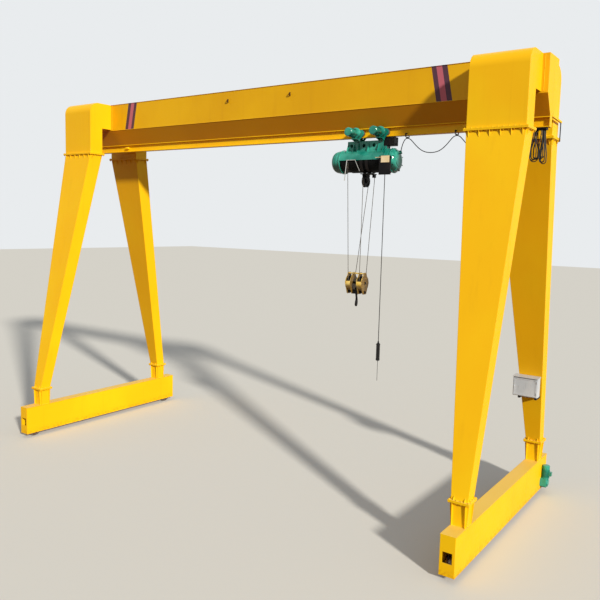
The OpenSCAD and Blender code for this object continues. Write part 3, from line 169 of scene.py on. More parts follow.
# Many copies of one shape, each turned and moved by its own 4x4 matrix
def copies(shape, places):
    points, quads, triangles = shape
    places = np.asarray(places, float)
    moved = np.einsum("kij,nj->kni", places[:, :3, :3], points) + places[:, None, :3, 3]
    shift = np.arange(len(places))[:, None, None] * len(points)
    return moved.reshape(-1, 3), (quads + shift).reshape(-1, 4), (triangles + shift).reshape(-1, 3)


# Several shapes as one, with each shape's corner numbers moved up past the points before it
def joined(*shapes):
    starts = np.cumsum([0] + [len(s[0]) for s in shapes[:-1]])
    return (np.concatenate([s[0] for s in shapes]),
            np.concatenate([s[1] + n for s, n in zip(shapes, starts)]),
            np.concatenate([s[2] + n for s, n in zip(shapes, starts)]))


# An object at the origin with its shape, material and slot; with no body it is left for a blend to carry
def meshPiece(name, shape, material, body, smooth=True):
    points, quads, triangles = shape
    mesh = bpy.data.meshes.new(name)
    mesh.vertices.add(len(points))
    mesh.vertices.foreach_set("co", points.ravel())
    mesh.loops.add(quads.size + triangles.size)
    mesh.loops.foreach_set("vertex_index", np.concatenate([quads.ravel(), triangles.ravel()]))
    starts = np.concatenate([np.arange(len(quads)) * 4, quads.size + np.arange(len(triangles)) * 3])
    mesh.polygons.add(len(starts))
    mesh.polygons.foreach_set("loop_start", starts)
    mesh.polygons.foreach_set("use_smooth", np.full(len(starts), smooth))
    mesh.update(calc_edges=True)
    mesh.materials.append(material)
    piece = bpy.data.objects.new(name, mesh)
    scene.collection.objects.link(piece)
    if body:
        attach(piece, body)
    return piece


# Matrix that stands a shape's Z axis along a direction at a place, turned about it
def standing(place, direction, turn=0.0):
    return (Matrix.Translation(place) @ Vector(direction).to_track_quat("Z", "Y").to_matrix().to_4x4()
            @ Matrix.Rotation(turn, 4, "Z"))


# Materials

# An sRGB hex colour in linear light: a straight line for the darkest values and a power curve above them
def linear(hexColour):
    parts = [int(hexColour[i:i + 2], 16) / 255 for i in (1, 3, 5)]
    return tuple(p / 12.92 if p <= 0.04045 else ((p + 0.055) / 1.055) ** 2.4 for p in parts) + (1.0,)


# One node with its settings. Its inputs come by name, or in order for those in use. A socket is linked, and
# so is a node, by its first output in use. Anything else is set on the input.
def addNode(tree, kind, inputs=(), **settings):
    made = tree.nodes.new("ShaderNode" + kind)
    for key, value in settings.items():
        setattr(made, key, value)
    if not isinstance(inputs, dict):
        inUse = [k for k, socket in enumerate(made.inputs) if socket.enabled]
        inputs = dict(zip(inUse, inputs))
    for key, value in inputs.items():
        if isinstance(value, bpy.types.Node):
            value = next(socket for socket in value.outputs if socket.enabled)
        if isinstance(value, bpy.types.NodeSocket):
            tree.links.new(value, made.inputs[key])
        else:
            made.inputs[key].default_value = value
    return made


# addNode bound to the cleared nodes of a material or a world
def clearedNodes(owner):
    owner.use_nodes = True
    owner.node_tree.nodes.clear()
    return partial(addNode, owner.node_tree)


def newMaterial(name):
    material = bpy.data.materials.new(name)
    node = clearedNodes(material)
    return material, node, node("TexCoord").outputs["Object"]


# Share of a noise pattern of one size, in metres: 0 below the first limit, 1 above the second, and smooth
# between them
def patches(node, place, size, limits, detail=4.0, stretch=(1, 1, 1)):
    moved = node("Mapping", {"Vector": place, "Scale": stretch})
    noise = node("TexNoise", {"Vector": moved, "Scale": 1 / size, "Detail": detail})
    return node("MapRange", (noise, *limits), interpolation_type="SMOOTHSTEP")


# Another colour laid over the first, by a mask times its strength
def laidOver(node, colour, mask, strength, over):
    share = node("Math", (mask, strength), operation="MULTIPLY")
    return node("Mix", (share, colour, linear(over)), data_type="RGBA")


# What all the paints share. Each mask is 0 at its first limit and 1 at its second.
paintMasks = {
    "broad": (0.38, 0.66), "runs": (0.55, 0.78), "speckle": (0.35, 0.8),  # noise
    # under darkens faces that look down: a painted shade
    "ledge": (0.7, 0.97), "under": (-0.1, -0.4),  # how far a face looks up
    # sides darkens faces that look along X: painted shade with grease
    "sides": (0.6, 0.9),  # how far it looks along X
    "edge": (0.995, 0.85),  # cosine between the bevelled normal and the true one
    "chipSoft": 0.05,  # from a chip's limit to the next
}
paintSurface = {
    "bevelSamples": 4, "peelStrength": 0.6, "coatRough": 0.12,
    "speckleRough": 0.12, "chipRough": 0.35,  # roughness that they add
}


# Paint on steel: broad sun-bleached patches, dirt that has run down upright faces, dust with a painted
# highlight on ledges, painted shade on faces that look down and, where the look has sides, painted shade
# with grease on those that look along X, grime near the floor, and chips along the edges. Sizes and depths in
# a look are metres on the object.
def paint(name, look):
    material, node, place = newMaterial(name)
    geometry = node("NewGeometry").outputs
    sideways, _, facing = node("SeparateXYZ", (geometry["Normal"],)).outputs
    level = node("Math", (facing,), operation="ABSOLUTE")
    upright = node("Math", (1.0, level), operation="SUBTRACT", use_clamp=True)

    broad = patches(node, place, look["broad"], paintMasks["broad"])
    colour = laidOver(node, linear(look["colour"]), broad, 1.0, look["bleached"])
    if "stripes" in look:
        colour = stripes(node, place, colour, look["stripes"])

    runs = patches(node, place, look["runWidth"], paintMasks["runs"], stretch=(1, 1, look["runStretch"]))
    runs = node("Math", (runs, upright), operation="MULTIPLY")
    colour = laidOver(node, colour, runs, look["runs"], look["dirtAndShade"])
    # Dust with a painted highlight: faces that look up are made paler.
    ledge = node("MapRange", (facing, *paintMasks["ledge"]))
    colour = laidOver(node, colour, ledge, look["dustAndHighlight"], look["dustAndHighlightColour"])
    # Painted shade: faces that look down are darkened.
    below = node("MapRange", (facing, *paintMasks["under"]))
    colour = laidOver(node, colour, below, look["under"], look["dirtAndShade"])
    # Painted shade with grease: faces that look along X are darkened.
    if "sides" in look:
        sideShadeAndGrease = node("Math", (sideways,), operation="ABSOLUTE")
        sideShadeAndGrease = node("MapRange", (sideShadeAndGrease, *paintMasks["sides"]))
        colour = laidOver(node, colour, sideShadeAndGrease, look["sides"], look["dirtAndShade"])

    speckle = patches(node, place, look["speckle"], paintMasks["speckle"], detail=8.0)
    if look["grimeTop"] > 0:
        height = node("SeparateXYZ", (place,)).outputs["Z"]
        near = node("MapRange", (height, look["grimeTop"], 0.0))
        colour = laidOver(node, colour, near, speckle, look["dirtAndShade"])

    # The bevelled normal turns away from the true one only near an edge
    rounded = node("Bevel", {"Radius": look["edge"]}, samples=paintSurface["bevelSamples"])
    away = node("VectorMath", (rounded, geometry["True Normal"]), operation="DOT_PRODUCT")
    edge = node("MapRange", (away, *paintMasks["edge"]))
    limits = (look["chipFrom"], look["chipFrom"] + paintMasks["chipSoft"])
    chips = patches(node, place, look["chip"], limits, detail=6.0)
    chips = node("Math", (edge, chips), operation="MULTIPLY")
    colour = laidOver(node, colour, chips, 1.0, look["primer"])

    peel = node("TexNoise", {"Vector": place, "Scale": 1 / look["peel"], "Detail": 1.0})
    buckle = node("TexNoise", {"Vector": place, "Scale": 1 / look["buckle"], "Detail": 0.0})
    bump = node("Bump", {"Height": buckle, "Distance": look["buckleDepth"], "Normal": rounded})
    bump = node("Bump", {"Height": peel, "Distance": look["peelDepth"],
                         "Strength": paintSurface["peelStrength"], "Normal": bump})
    rough = node("Math", (speckle, paintSurface["speckleRough"], look["roughness"]), operation="MULTIPLY_ADD")
    rough = node("Math", (chips, paintSurface["chipRough"], rough), operation="MULTIPLY_ADD")
    shader = node("BsdfPrincipled", {
        "Base Color": colour, "Roughness": rough, "Normal": bump, "IOR": look["ior"],
        "Coat Weight": look["coat"], "Coat Roughness": paintSurface["coatRough"]})
    node("OutputMaterial", {"Surface": shader})
    return material


# Slanted bands painted across the webs near both ends of the girder. The distance into a band is the distance
# from the middle of the girder, less the band's start and its slope times the depth below the top plate.
# The lugs, which stand out past the webs and lie below the top plate, are painted dark brown.
def stripes(node, place, colour, band):
    x, y, z = node("SeparateXYZ", (place,)).outputs
    fromMiddle = node("Math", (x,), operation="ABSOLUTE")
    out = node("Math", (y,), operation="ABSOLUTE")
    depth = node("Math", (band["top"], z), operation="SUBTRACT")
    start = node("Math", (depth, band["slope"], band["start"]), operation="MULTIPLY_ADD")
    into = node("Math", (fromMiddle, start), operation="SUBTRACT")
    onWeb = node("Math", (out, band["webOut"]), operation="GREATER_THAN")
    above = node("Math", (z, band["low"]), operation="GREATER_THAN")
    web = node("Math", (onWeb, above), operation="MULTIPLY")
    for low, high, hexColour in band["bands"]:
        past = node("Math", (into, low), operation="GREATER_THAN")
        short = node("Math", (into, high), operation="LESS_THAN")
        inside = node("Math", (past, short), operation="MULTIPLY")
        colour = laidOver(node, colour, inside, web, hexColour)
    # The lugs are painted dark brown.
    onLug = node("Math", (out, band["lugOut"]), operation="GREATER_THAN")
    below = node("Math", (z, band["lugTop"]), operation="LESS_THAN")
    return laidOver(node, colour, onLug, below, band["lugDark"])


# Alkyd enamel sprayed on welded plate: a satin gloss over plates that the welds have buckled a little.
# Orange peel is about 3 mm, drawn at 8 mm so that it shows.
craneEnamel = {
    "colour": "#F4BE06", "bleached": "#F5C70A", "broad": 2.4, "dirtAndShade": "#B0650A", "dustAndHighlightColour": "#EFD69A",
    "runWidth": 0.14, "runStretch": 0.04, "runs": 0.09, "dustAndHighlight": 0.30, "under": 0.62,
    "speckle": 0.06, "grimeTop": 0.30, "edge": 0.010, "chip": 0.05, "chipFrom": 0.62, "primer": "#8A4A22",
    "peel": 0.008, "peelDepth": 0.0004, "buckle": 0.9, "buckleDepth": 0.012,
    "roughness": 0.48, "coat": 0.0, "ior": 1.33,
}
girderBands = {
    "top": 10.31, "low": 9.50, "webOut": 0.335, "start": 4.90, "slope": 0.20,
    "lugOut": 0.343, "lugTop": 10.29, "lugDark": "#3A2410",
    "bands": [(-0.04, 0.075, "#533646"), (0.075, 0.215, "#BA6474"), (0.215, 0.34, "#533646")],
}
# Gloss enamel brushed on castings and sheet: deep gloss and rounded highlights. Orange peel of 3 mm is
# drawn at 6 mm.
hoistEnamel = {
    "colour": "#0E7A6C", "bleached": "#38A593", "broad": 0.5, "dirtAndShade": "#06201C", "dustAndHighlightColour": "#5AA092",
    "runWidth": 0.03, "runStretch": 0.15, "runs": 0.5, "dustAndHighlight": 0.2, "under": 0.8,
    "speckle": 0.02, "grimeTop": 0.0, "edge": 0.006, "chip": 0.02, "chipFrom": 0.60, "primer": "#4B3A30",
    "peel": 0.006, "peelDepth": 0.0005, "buckle": 0.15, "buckleDepth": 0.002,
    "roughness": 0.17, "coat": 0.2, "ior": 1.36,
}
# Enamel brushed on the hook block's covers: rubbed and pale, with painted shade and grease on the faces
# beside the sheaves. Orange peel of 3 mm is drawn at 6 mm.
blockEnamel = {
    "colour": "#EDC44A", "bleached": "#F6DC84", "broad": 0.16, "dirtAndShade": "#4A2E10", "dustAndHighlightColour": "#CDB26A",
    "runWidth": 0.08, "runStretch": 0.4, "runs": 0.9, "dustAndHighlight": 0.3, "under": 0.7, "sides": 0.86,
    "speckle": 0.015, "grimeTop": 0.0, "edge": 0.006, "chip": 0.02, "chipFrom": 0.50, "primer": "#3A2A20",
    "peel": 0.006, "peelDepth": 0.0004, "buckle": 0.2, "buckleDepth": 0.001,
    "roughness": 0.42, "coat": 0.1, "ior": 1.45,
}
# Powder coat baked on folded sheet: dull and even, with a texture of about 1 mm drawn at 3 mm
cabinetCoat = {
    "colour": "#BAC2CA", "bleached": "#C6CCD2", "broad": 0.4, "dirtAndShade": "#6A6C70", "dustAndHighlightColour": "#B4B2AC",
    "runWidth": 0.03, "runStretch": 0.1, "runs": 0.5, "dustAndHighlight": 0.4, "under": 0.3,
    "speckle": 0.02, "grimeTop": 0.0, "edge": 0.004, "chip": 0.02, "chipFrom": 0.66, "primer": "#7A7468",
    "peel": 0.003, "peelDepth": 0.0004, "buckle": 0.4, "buckleDepth": 0.001,
    "roughness": 0.5, "coat": 0.0, "ior": 1.45,
}
# Satin enamel sprayed on a pressed plate: a soft even sheen, with orange peel of 2 mm drawn at 4 mm
creamEnamel = {
    "colour": "#EBD9AC", "bleached": "#F2E2BC", "broad": 0.2, "dirtAndShade": "#7C6A48", "dustAndHighlightColour": "#D8C8A0",
    "runWidth": 0.02, "runStretch": 0.15, "runs": 0.5, "dustAndHighlight": 0.3, "under": 0.3,
    "speckle": 0.01, "grimeTop": 0.0, "edge": 0.003, "chip": 0.015, "chipFrom": 0.62, "primer": "#6A5A48",
    "peel": 0.004, "peelDepth": 0.0002, "buckle": 0.2, "buckleDepth": 0.0005,
    "roughness": 0.4, "coat": 0.1, "ior": 1.45,
}
# Satin black enamel brushed on brackets, boxes and the hook: dull, browned by dust, with brush marks of 2 mm
# drawn at 4 mm
blackEnamel = {
    "colour": "#0D0D0F", "bleached": "#171516", "broad": 0.3, "dirtAndShade": "#2A201C", "dustAndHighlightColour": "#3A3430",
    "runWidth": 0.02, "runStretch": 0.2, "runs": 0.4, "dustAndHighlight": 0.25, "under": 0.2,
    "speckle": 0.015, "grimeTop": 0.0, "edge": 0.004, "chip": 0.02, "chipFrom": 0.60, "primer": "#7A6A5C",
    "peel": 0.004, "peelDepth": 0.0003, "buckle": 0.2, "buckleDepth": 0.0008,
    "roughness": 0.5, "coat": 0.0, "ior": 1.25,
}


# Metal with a film on it: the film's colour and roughness lie over bare metal in patches. filmIor acts only
# through the film, since bare metal takes its gloss from its colour.
def filmedMetal(name, look):
    material, node, place = newMaterial(name)
    film = patches(node, place, look["patch"], look["filmLimits"], detail=8.0)
    colour = laidOver(node, linear(look["metal"]), film, 1.0, look["film"])
    rough = node("MapRange", {"Value": film, "To Min": look["roughness"], "To Max": look["filmRough"]})
    covered = node("Math", (film, look["cover"]), operation="MULTIPLY")
    bare = node("Math", (1.0, covered), operation="SUBTRACT", use_clamp=True)
    turned = node("Mapping", {"Vector": place, "Scale": look["markStretch"]})
    marks = node("TexNoise", {"Vector": turned, "Scale": 1 / look["mark"], "Detail": 3.0})
    bump = node("Bump", {"Height": marks, "Distance": look["markDepth"]})
    shader = node("BsdfPrincipled", {
        "Base Color": colour, "Metallic": bare, "Roughness": rough, "Normal": bump, "IOR": look["filmIor"]})
    node("OutputMaterial", {"Surface": shader})
    return material


# Turned wheel steel: dull, with a brown bloom of rust where nothing rolls. Pits of 1 mm are drawn at 4 mm.
wheelSteel = {
    "metal": "#8A8682", "film": "#5A4436", "patch": 0.05, "filmLimits": (0.4, 0.6), "cover": 0.9,
    "roughness": 0.4, "filmRough": 0.8, "filmIor": 1.45,
    "markStretch": (1, 1, 1), "mark": 0.004, "markDepth": 0.0004,
}
# Zinc plated on the limit lever: a pale metal with a chalky white bloom in patches of 20 mm
zincPlate = {
    "metal": "#D8D8D4", "film": "#C9C8C0", "patch": 0.02, "filmLimits": (0.4, 0.7), "cover": 0.7,
    "roughness": 0.35, "filmRough": 0.65, "filmIor": 1.45,
    "markStretch": (1, 1, 1), "mark": 0.003, "markDepth": 0.0002,
}
# Cast iron and rope under black grease that holds dust: nearly black, with a low soft sheen. Cast grain of
# 1 mm is drawn at 6 mm.
greasedIron = {
    "metal": "#161617", "film": "#050506", "patch": 0.03, "filmLimits": (0.3, 0.6), "cover": 1.0,
    "roughness": 0.45, "filmRough": 0.45, "filmIor": 1.25,
    "markStretch": (1, 1, 1), "mark": 0.006, "markDepth": 0.0006,
}
# Drawn strand wire, oiled and brown with dust. Wires of 1 mm are drawn at 2 mm, longer along the rope.
ropeWire = {
    "metal": "#6E6860", "film": "#2A241E", "patch": 0.02, "filmLimits": (0.3, 0.7), "cover": 0.8,
    "roughness": 0.4, "filmRough": 0.55, "filmIor": 1.45,
    "markStretch": (1, 1, 0.3), "mark": 0.002, "markDepth": 0.0003,
}


# Rubber and plastic: one colour greyed by dust and handling, over a fine moulded grain
def moulded(name, look):
    material, node, place = newMaterial(name)
    wear = patches(node, place, look["patch"], look["wornLimits"], detail=6.0)
    colour = laidOver(node, linear(look["colour"]), wear, 1.0, look["worn"])
    grain = node("TexNoise", {"Vector": place, "Scale": 1 / look["grain"], "Detail": 2.0})
    bump = node("Bump", {"Height": grain, "Distance": look["grainDepth"]})
    rough = node("Math", (wear, look["wornRough"], look["roughness"]), operation="MULTIPLY_ADD")
    shader = node("BsdfPrincipled", {"Base Color": colour, "Roughness": rough, "Normal": bump})
    node("OutputMaterial", {"Surface": shader})
    return material


# Rubber sheath, extruded: matt with a dusty bloom. Its grain of 0.5 mm is drawn at 4 mm.
cableRubber = {
    "colour": "#0A0A0B", "worn": "#1E1A18", "patch": 0.12, "wornLimits": (0.4, 0.7), "wornRough": 0.2,
    "grain": 0.004, "grainDepth": 0.0003, "roughness": 0.5,
}
# ABS housing, moulded: an even soft gloss. Its grain of 0.5 mm is drawn at 1.5 mm.
blackPlastic = {
    "colour": "#18181A", "worn": "#2A2A2B", "patch": 0.05, "wornLimits": (0.4, 0.7), "wornRough": 0.2,
    "grain": 0.0015, "grainDepth": 0.0002, "roughness": 0.4,
}

finishes = {
    "crane_yellow_paint": paint("craneEnamel", craneEnamel),
    "hoist_green_paint": paint("hoistEnamel", hoistEnamel),
    "block_yellow_paint": paint("blockEnamel", blockEnamel),
    "cabinet_grey_paint": paint("cabinetCoat", cabinetCoat),
    "cream_paint": paint("creamEnamel", creamEnamel),
    "black_steel": paint("blackEnamel", blackEnamel),
    "wheel_steel": filmedMetal("wheelSteel", wheelSteel),
    "zinc_steel": filmedMetal("zincPlate", zincPlate),
    "greased_steel": filmedMetal("greasedIron", greasedIron),
    "wire_rope": filmedMetal("ropeWire", ropeWire),
    "cable_rubber": moulded("cableRubber", cableRubber),
    "black_plastic": moulded("blackPlastic", blackPlastic),
}
bandedEnamel = paint("bandedEnamel", {**craneEnamel, "colour": "#DFA906", "bleached": "#E8B508",
                                      "stripes": girderBands})
special = {"girder_box": bandedEnamel}
for part in frame["record"]["subparts"]:
    surface = special.get(part["node"], finishes[part["material_slot"]])
    mesh = nodes[part["node"]].data
    mesh.materials.clear()
    mesh.materials.append(surface)
print("materials on %d nodes" % len(nodes))


# Cords, each along the same points as its solid, in metres

festoon = {
    "radius": 0.010, "sides": 12, "steps": 8,
    "route": [  # x and z
        (4.020, 8.5205), (4.020, 8.530), (4.021, 8.550), (4.032, 8.600), (4.050, 8.660), (4.074, 8.720),
        (4.104, 8.774), (4.135, 8.802), (4.170, 8.807), (4.205, 8.803), (4.250, 8.781), (4.310, 8.728),
        (4.380, 8.655), (4.460, 8.582), (4.550, 8.518), (4.660, 8.472), (4.810, 8.455), (4.960, 8.478),
        (5.070, 8.536), (5.165, 8.618), (5.245, 8.706), (5.315, 8.777), (5.370, 8.804), (5.400, 8.807),
        (5.430, 8.804), (5.490, 8.774), (5.570, 8.692), (5.670, 8.588), (5.800, 8.482), (5.990, 8.392),
        (6.230, 8.360), (6.470, 8.392), (6.660, 8.480), (6.790, 8.590), (6.880, 8.690), (6.960, 8.775),
        (7.030, 8.822), (7.075, 8.835), (7.099, 8.835),
    ],
}


def makeFestoon(spec):
    route = smoothRoute([(x, 0.0, z) for x, z in spec["route"]], spec["steps"])
    shape = tubeAlong(route, spec["radius"], spec["sides"])
    cable = meshPiece("festoonCable", shape, finishes["cable_rubber"], None)
    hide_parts("festoon_loops")
    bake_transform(cable)


makeFestoon(festoon)

parkedLoops = {
    "radius": 0.010, "sides": 12, "steps": 6, "top": 8.8187,
    "pinch": 0.013,                 # half the width in the clamp
    "held": 0.050,                  # depth to which the clamp keeps that width
    "spread": (0.002, 0.120),       # width gained on each side, and the depth where it is
    "shoulders": (0.150, 0.050),    # heights above the half circle where the sides are upright
    "bend": 30,                     # degrees between the points of the half circle
    "loops": [  # middle x, y, width and drop
        (7.140, -0.052, 0.130, 0.620), (7.160, -0.026, 0.165, 0.650), (7.195, 0.000, 0.110, 0.600),
        (7.315, 0.026, 0.090, 0.655), (7.335, 0.052, 0.110, 0.690),
        (7.300, -0.052, 0.090, 0.600), (7.325, -0.026, 0.100, 0.670), (7.330, 0.000, 0.080, 0.560),
        (7.150, 0.026, 0.140, 0.600), (7.175, 0.052, 0.110, 0.570),
    ],
}


# Spare cable in the clamp: down from a pinch, out to the loop's width, round a half circle and up again
def makeParkedLoops(spec):
    top, pinch = spec["top"], spec["pinch"]
    spread, spreadDepth = spec["spread"]
    angle = np.radians(np.arange(0, 181, spec["bend"]))
    for i, (x, y, width, drop) in enumerate(spec["loops"]):
        half = width / 2
        low = top - drop + half
        side = [(pinch, top), (pinch, top - spec["held"]), (pinch + spread, top - spreadDepth),
                ((pinch + half) / 2, (top + low) / 2)]
        side += [(half, low + height) for height in spec["shoulders"]]
        bend = np.stack([x - half * np.cos(angle), np.full(len(angle), y), low - half * np.sin(angle)], 1)
        points = ([(x - out, y, z) for out, z in side] + bend.tolist()
                  + [(x + out, y, z) for out, z in side[::-1]])
        route = smoothRoute(points, spec["steps"])
        shape = tubeAlong(route, spec["radius"], spec["sides"])
        loop = meshPiece("parkedLoop%d" % (i + 1), shape, finishes["cable_rubber"], "gantry")
        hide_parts("festoon_bundle")


makeParkedLoops(parkedLoops)

pendant = {
    "place": (3.780, -0.320), "top": 7.950, "boxTop": 3.950, "boxLow": 3.450, "cordLow": 2.970,
    "radius": 0.009, "cordRadius": 0.005, "sides": 12, "step": 0.05,
}


# A straight cable that hangs under its own weight from one height to another
def makeHanging(name, spec, top, low, radius, node):
    heights = np.linspace(top, low, int((top - low) / spec["step"]) + 2)
    x, y = spec["place"]
    route = np.stack([np.full(len(heights), x), np.full(len(heights), y), heights], 1)
    shape = tubeAlong(route, radius, spec["sides"])
    cable = meshPiece(name, shape, finishes["cable_rubber"], "trolley")
    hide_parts(node)


makeHanging("pendantCable", pendant, pendant["top"], pendant["boxTop"], pendant["radius"],
            "pendant_cable")
makeHanging("pullCord", pendant, pendant["boxLow"], pendant["cordLow"], pendant["cordRadius"],
            "pendant_pull_cord")
print("pendant cable: %.2f m" % (pendant["top"] - pendant["boxTop"]))


# Wire rope of twisted strands in the four falls of the hook block

rope = {
    "diameter": 0.015, "strands": 6, "lay": 0.10, "sides": 5, "step": 0.0125,
    "bend": 0.060,  # height over which a fall is upright at its ends
    "falls": [  # foot at the block's sheaves, then top at the drum, the pulley's two sides and the anchor
        ((2.770, -0.160, 5.300), (2.710, -0.2658, 8.299)),
        ((2.770, 0.160, 5.300), (3.090, 0.1378, 7.835)),
        ((3.090, -0.160, 5.300), (3.090, -0.1378, 7.835)),
        ((3.090, 0.160, 5.300), (3.240, 0.160, 7.915)),
    ],
}


# Each strand is a third as thick as the rope. Its centre circles the fall's line at a third of the rope's
# diameter, once for every lay length.
def makeRope(spec):
    strand = spec["diameter"] / 6  # its radius
    shapes = []
    for foot, top in spec["falls"]:
        foot, top = np.array(foot), np.array(top)
        ends = np.array([foot, foot + (0, 0, spec["bend"]), top - (0, 0, spec["bend"]), top])
        length = cornerDistances(ends)[-1]
        along = np.arange(0, length + spec["step"], spec["step"]).clip(0, length)
        line = pointsAlong(ends, along)
        for k in range(spec["strands"]):
            turn = 2 * np.pi * (along / spec["lay"] + k / spec["strands"])
            circle = 2 * strand * np.stack([np.cos(turn), np.sin(turn), np.zeros(len(turn))], 1)
            shapes.append(tubeAlong(line + circle, strand, spec["sides"]))
    piece = meshPiece("ropeFalls", joined(*shapes), finishes["wire_rope"], None)
    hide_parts("wire_rope_falls")
    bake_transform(piece)


makeRope(rope)
print("rope falls made")


# Guards over the front and back of the block's sheaves, between the plates of each cage

sheaveGuard = {
    "sheaves": (2.770, 3.090), "height": 5.300, "half": 0.0617, "inner": 0.182, "outer": 0.190,
    "from": -31.6, "to": 13.5,  # degrees above the level of the sheaves' axis
    "steps": 10,
}


# Part of a ring between two angles: a rectangle carried round the axis. The back one is the front one turned.
def makeGuards(spec):
    angle = np.radians(np.linspace(spec["from"], spec["to"], spec["steps"]))[:, None]
    radius = np.array([spec["inner"], spec["outer"], spec["outer"], spec["inner"]])
    across = np.broadcast_to(np.array([-1, -1, 1, 1]) * spec["half"], (spec["steps"], 4))
    rings = np.stack([across, -radius * np.cos(angle), radius * np.sin(angle)], -1)
    places = [Matrix.Translation((x, 0, spec["height"])) @ Matrix.Rotation(turn, 4, "Z")
              for x in spec["sheaves"] for turn in (0, math.pi)]
    meshPiece("sheaveGuards", copies(cappedRings(rings), places), finishes["block_yellow_paint"],
              "hook_block", smooth=False)


makeGuards(sheaveGuard)
print("sheave guards made")


# Turns of rope on the drum, one in each groove from where the rope leaves it

winding = {
    "rope": 0.0075, "radius": 0.2655, "pitch": 0.017, "from": 2.710, "turns": 52, "height": 8.300,
    "sides": 6, "steps": 36,
}


# Helix about the drum's axis that starts at its front: the radius times the cosine and sine of the turn, and
# one pitch along X for each turn
def makeWinding(spec):
    turn = np.arange(spec["turns"] * spec["steps"] + 1) / spec["steps"]
    angle = 2 * np.pi * turn - np.pi
    route = np.stack([spec["from"] + spec["pitch"] * turn, spec["radius"] * np.cos(angle),
                      spec["height"] + spec["radius"] * np.sin(angle)], 1)
    shape = tubeAlong(route, spec["rope"], spec["sides"], (1, 0, 0))
    meshPiece("drumWinding", shape, finishes["greased_steel"], "rope_drum")


makeWinding(winding)
print("rope on the drum: %d turns" % winding["turns"])


# Hexagon bolts at the flange joints

bolt = {
    "flats": 0.030, "head": 0.0125, "washer": 0.037, "washerHigh": 0.003, "shank": 0.020, "tip": 0.010,
    "chamfer": 0.002, "crown": 0.93,  # height of the chamfer, and the share of the flats above it
    "sides": 24, "seed": 4,
}


# Radius of a hexagon at an angle, as a share of half its width over flats: one over the cosine of the angle
# from the middle of the nearest flat
def hexagon(angle):
    return 1 / np.cos((angle % (np.pi / 3)) - np.pi / 6)


# A washer, a hexagon on it and, on a nut, the bolt's tip above
def hexHead(spec, tip):
    washer, flat, shank = spec["washer"] / 2, spec["flats"] / 2, spec["shank"] / 2
    low, high = spec["washerHigh"], spec["washerHigh"] + spec["head"]
    profile = [(washer, 0), (washer, low), (flat, low), (flat, high - spec["chamfer"]),
               (flat * spec["crown"], high)]
    if tip:
        profile += [(shank, high), (shank, high + tip)]
    angle = np.arange(spec["sides"]) * 2 * np.pi / spec["sides"]
    stretch = np.ones((len(profile), len(angle)))
    stretch[2:4] = hexagon(angle)  # the rows at the foot and the top of the flats
    return revolved(profile, angle, stretch)


# Bolts through a level joint: a head above and a nut below, at each place on plan
def boltPairs(spec, places, top, under):
    rng = np.random.default_rng(spec["seed"])
    turns = rng.uniform(0, np.pi / 3, len(places))
    heads = [standing((x, y, top), (0, 0, 1), t) for (x, y), t in zip(places, turns)]
    nuts = [standing((x, y, under), (0, 0, -1), t) for (x, y), t in zip(places, turns)]
    return joined(copies(hexHead(spec, 0), heads), copies(hexHead(spec, spec["tip"]), nuts))


upperJoint = {
    "x": (6.045, 7.335), "y": (0.660, 1.160), "top": 8.775, "under": 8.725,
    "firstGusset": 6.130, "lastGusset": 7.250, "bays": 5, "inBay": (0.25, 0.75),
    "betweenY": (0.800, 0.910, 1.020),
}
lowerJoint = {
    "x": (6.703, 7.097), "y": (2.219, 2.601), "top": 1.465, "under": 1.415,
    "betweenX": (6.85, 6.95), "betweenY": (2.36, 2.46),
}


# Bolts round one joint: rows along its two long sides, and those between them on its short sides
def jointPlaces(spec):
    if "bays" in spec:
        bay = (spec["lastGusset"] - spec["firstGusset"]) / spec["bays"]
        xs = [spec["firstGusset"] + bay * (k + share) for k in range(spec["bays"]) for share in spec["inBay"]]
    else:
        xs = spec["betweenX"]
    rows = [(x, y) for y in spec["y"] for x in (spec["x"][0], *xs, spec["x"][1])]
    return rows + [(x, y) for x in spec["x"] for y in spec["betweenY"]]


# The same bolts at all four corners of the portal
def makeJointBolts(name, spec, size):
    quarter = jointPlaces(spec)
    places = [(side * x, end * y) for side in (-1, 1) for end in (-1, 1) for x, y in quarter]
    shape = boltPairs(size, places, spec["top"], spec["under"])
    meshPiece(name, shape, finishes["crane_yellow_paint"], "gantry", smooth=False)
    return len(places)


jointBolts = makeJointBolts("upperJointBolts", upperJoint, bolt)
jointBolts += makeJointBolts("lowerJointBolts", lowerJoint, bolt)
print("bolts at the joints: %d" % jointBolts)


# Bolt heads in rings round the hoist's flanges: place along X, radius, number and the way that they face

hoistBolts = {
    "size": {**bolt, "flats": 0.019, "head": 0.008, "washer": 0.024, "washerHigh": 0.002, "shank": 0.012},
    "height": 8.300,
    "rings": [(2.438, 0.284, 24, -1), (3.722, 0.284, 24, 1), (3.8576, 0.286, 20, 1)],
}


# Heads at equal angles round a circle that is square to X
def makeHoistBolts(spec):
    places = []
    for x, radius, count, way in spec["rings"]:
        for angle in (np.arange(count) + 0.5) * 2 * math.pi / count:
            spot = (x, radius * math.cos(angle), spec["height"] + radius * math.sin(angle))
            places.append(standing(spot, (way, 0, 0), angle))
    shape = copies(hexHead(spec["size"], 0), places)
    slot = "hoist_green_paint"
    meshPiece("hoistBolts", shape, finishes[slot], "trolley", smooth=False)
    return len(places)


print("bolts on the hoist: %d" % makeHoistBolts(hoistBolts))


# Fillet welds: ripples of weld metal under the paint

welds = {
    "leg": 0.007, "ripple": 0.18, "pitch": 0.014, "step": 0.007, "sides": 6,
    "beat": 1.07,                   # puts the ripples out of step with the rings
    "across": (0.31, 0.27, 0.91),   # no seam runs this way
    "stub": (0.150, 0.146), "web": 0.338, "headLow": 9.550, "plate": 0.012, "edge": 9.520, "edgeEnd": 6.04,
}


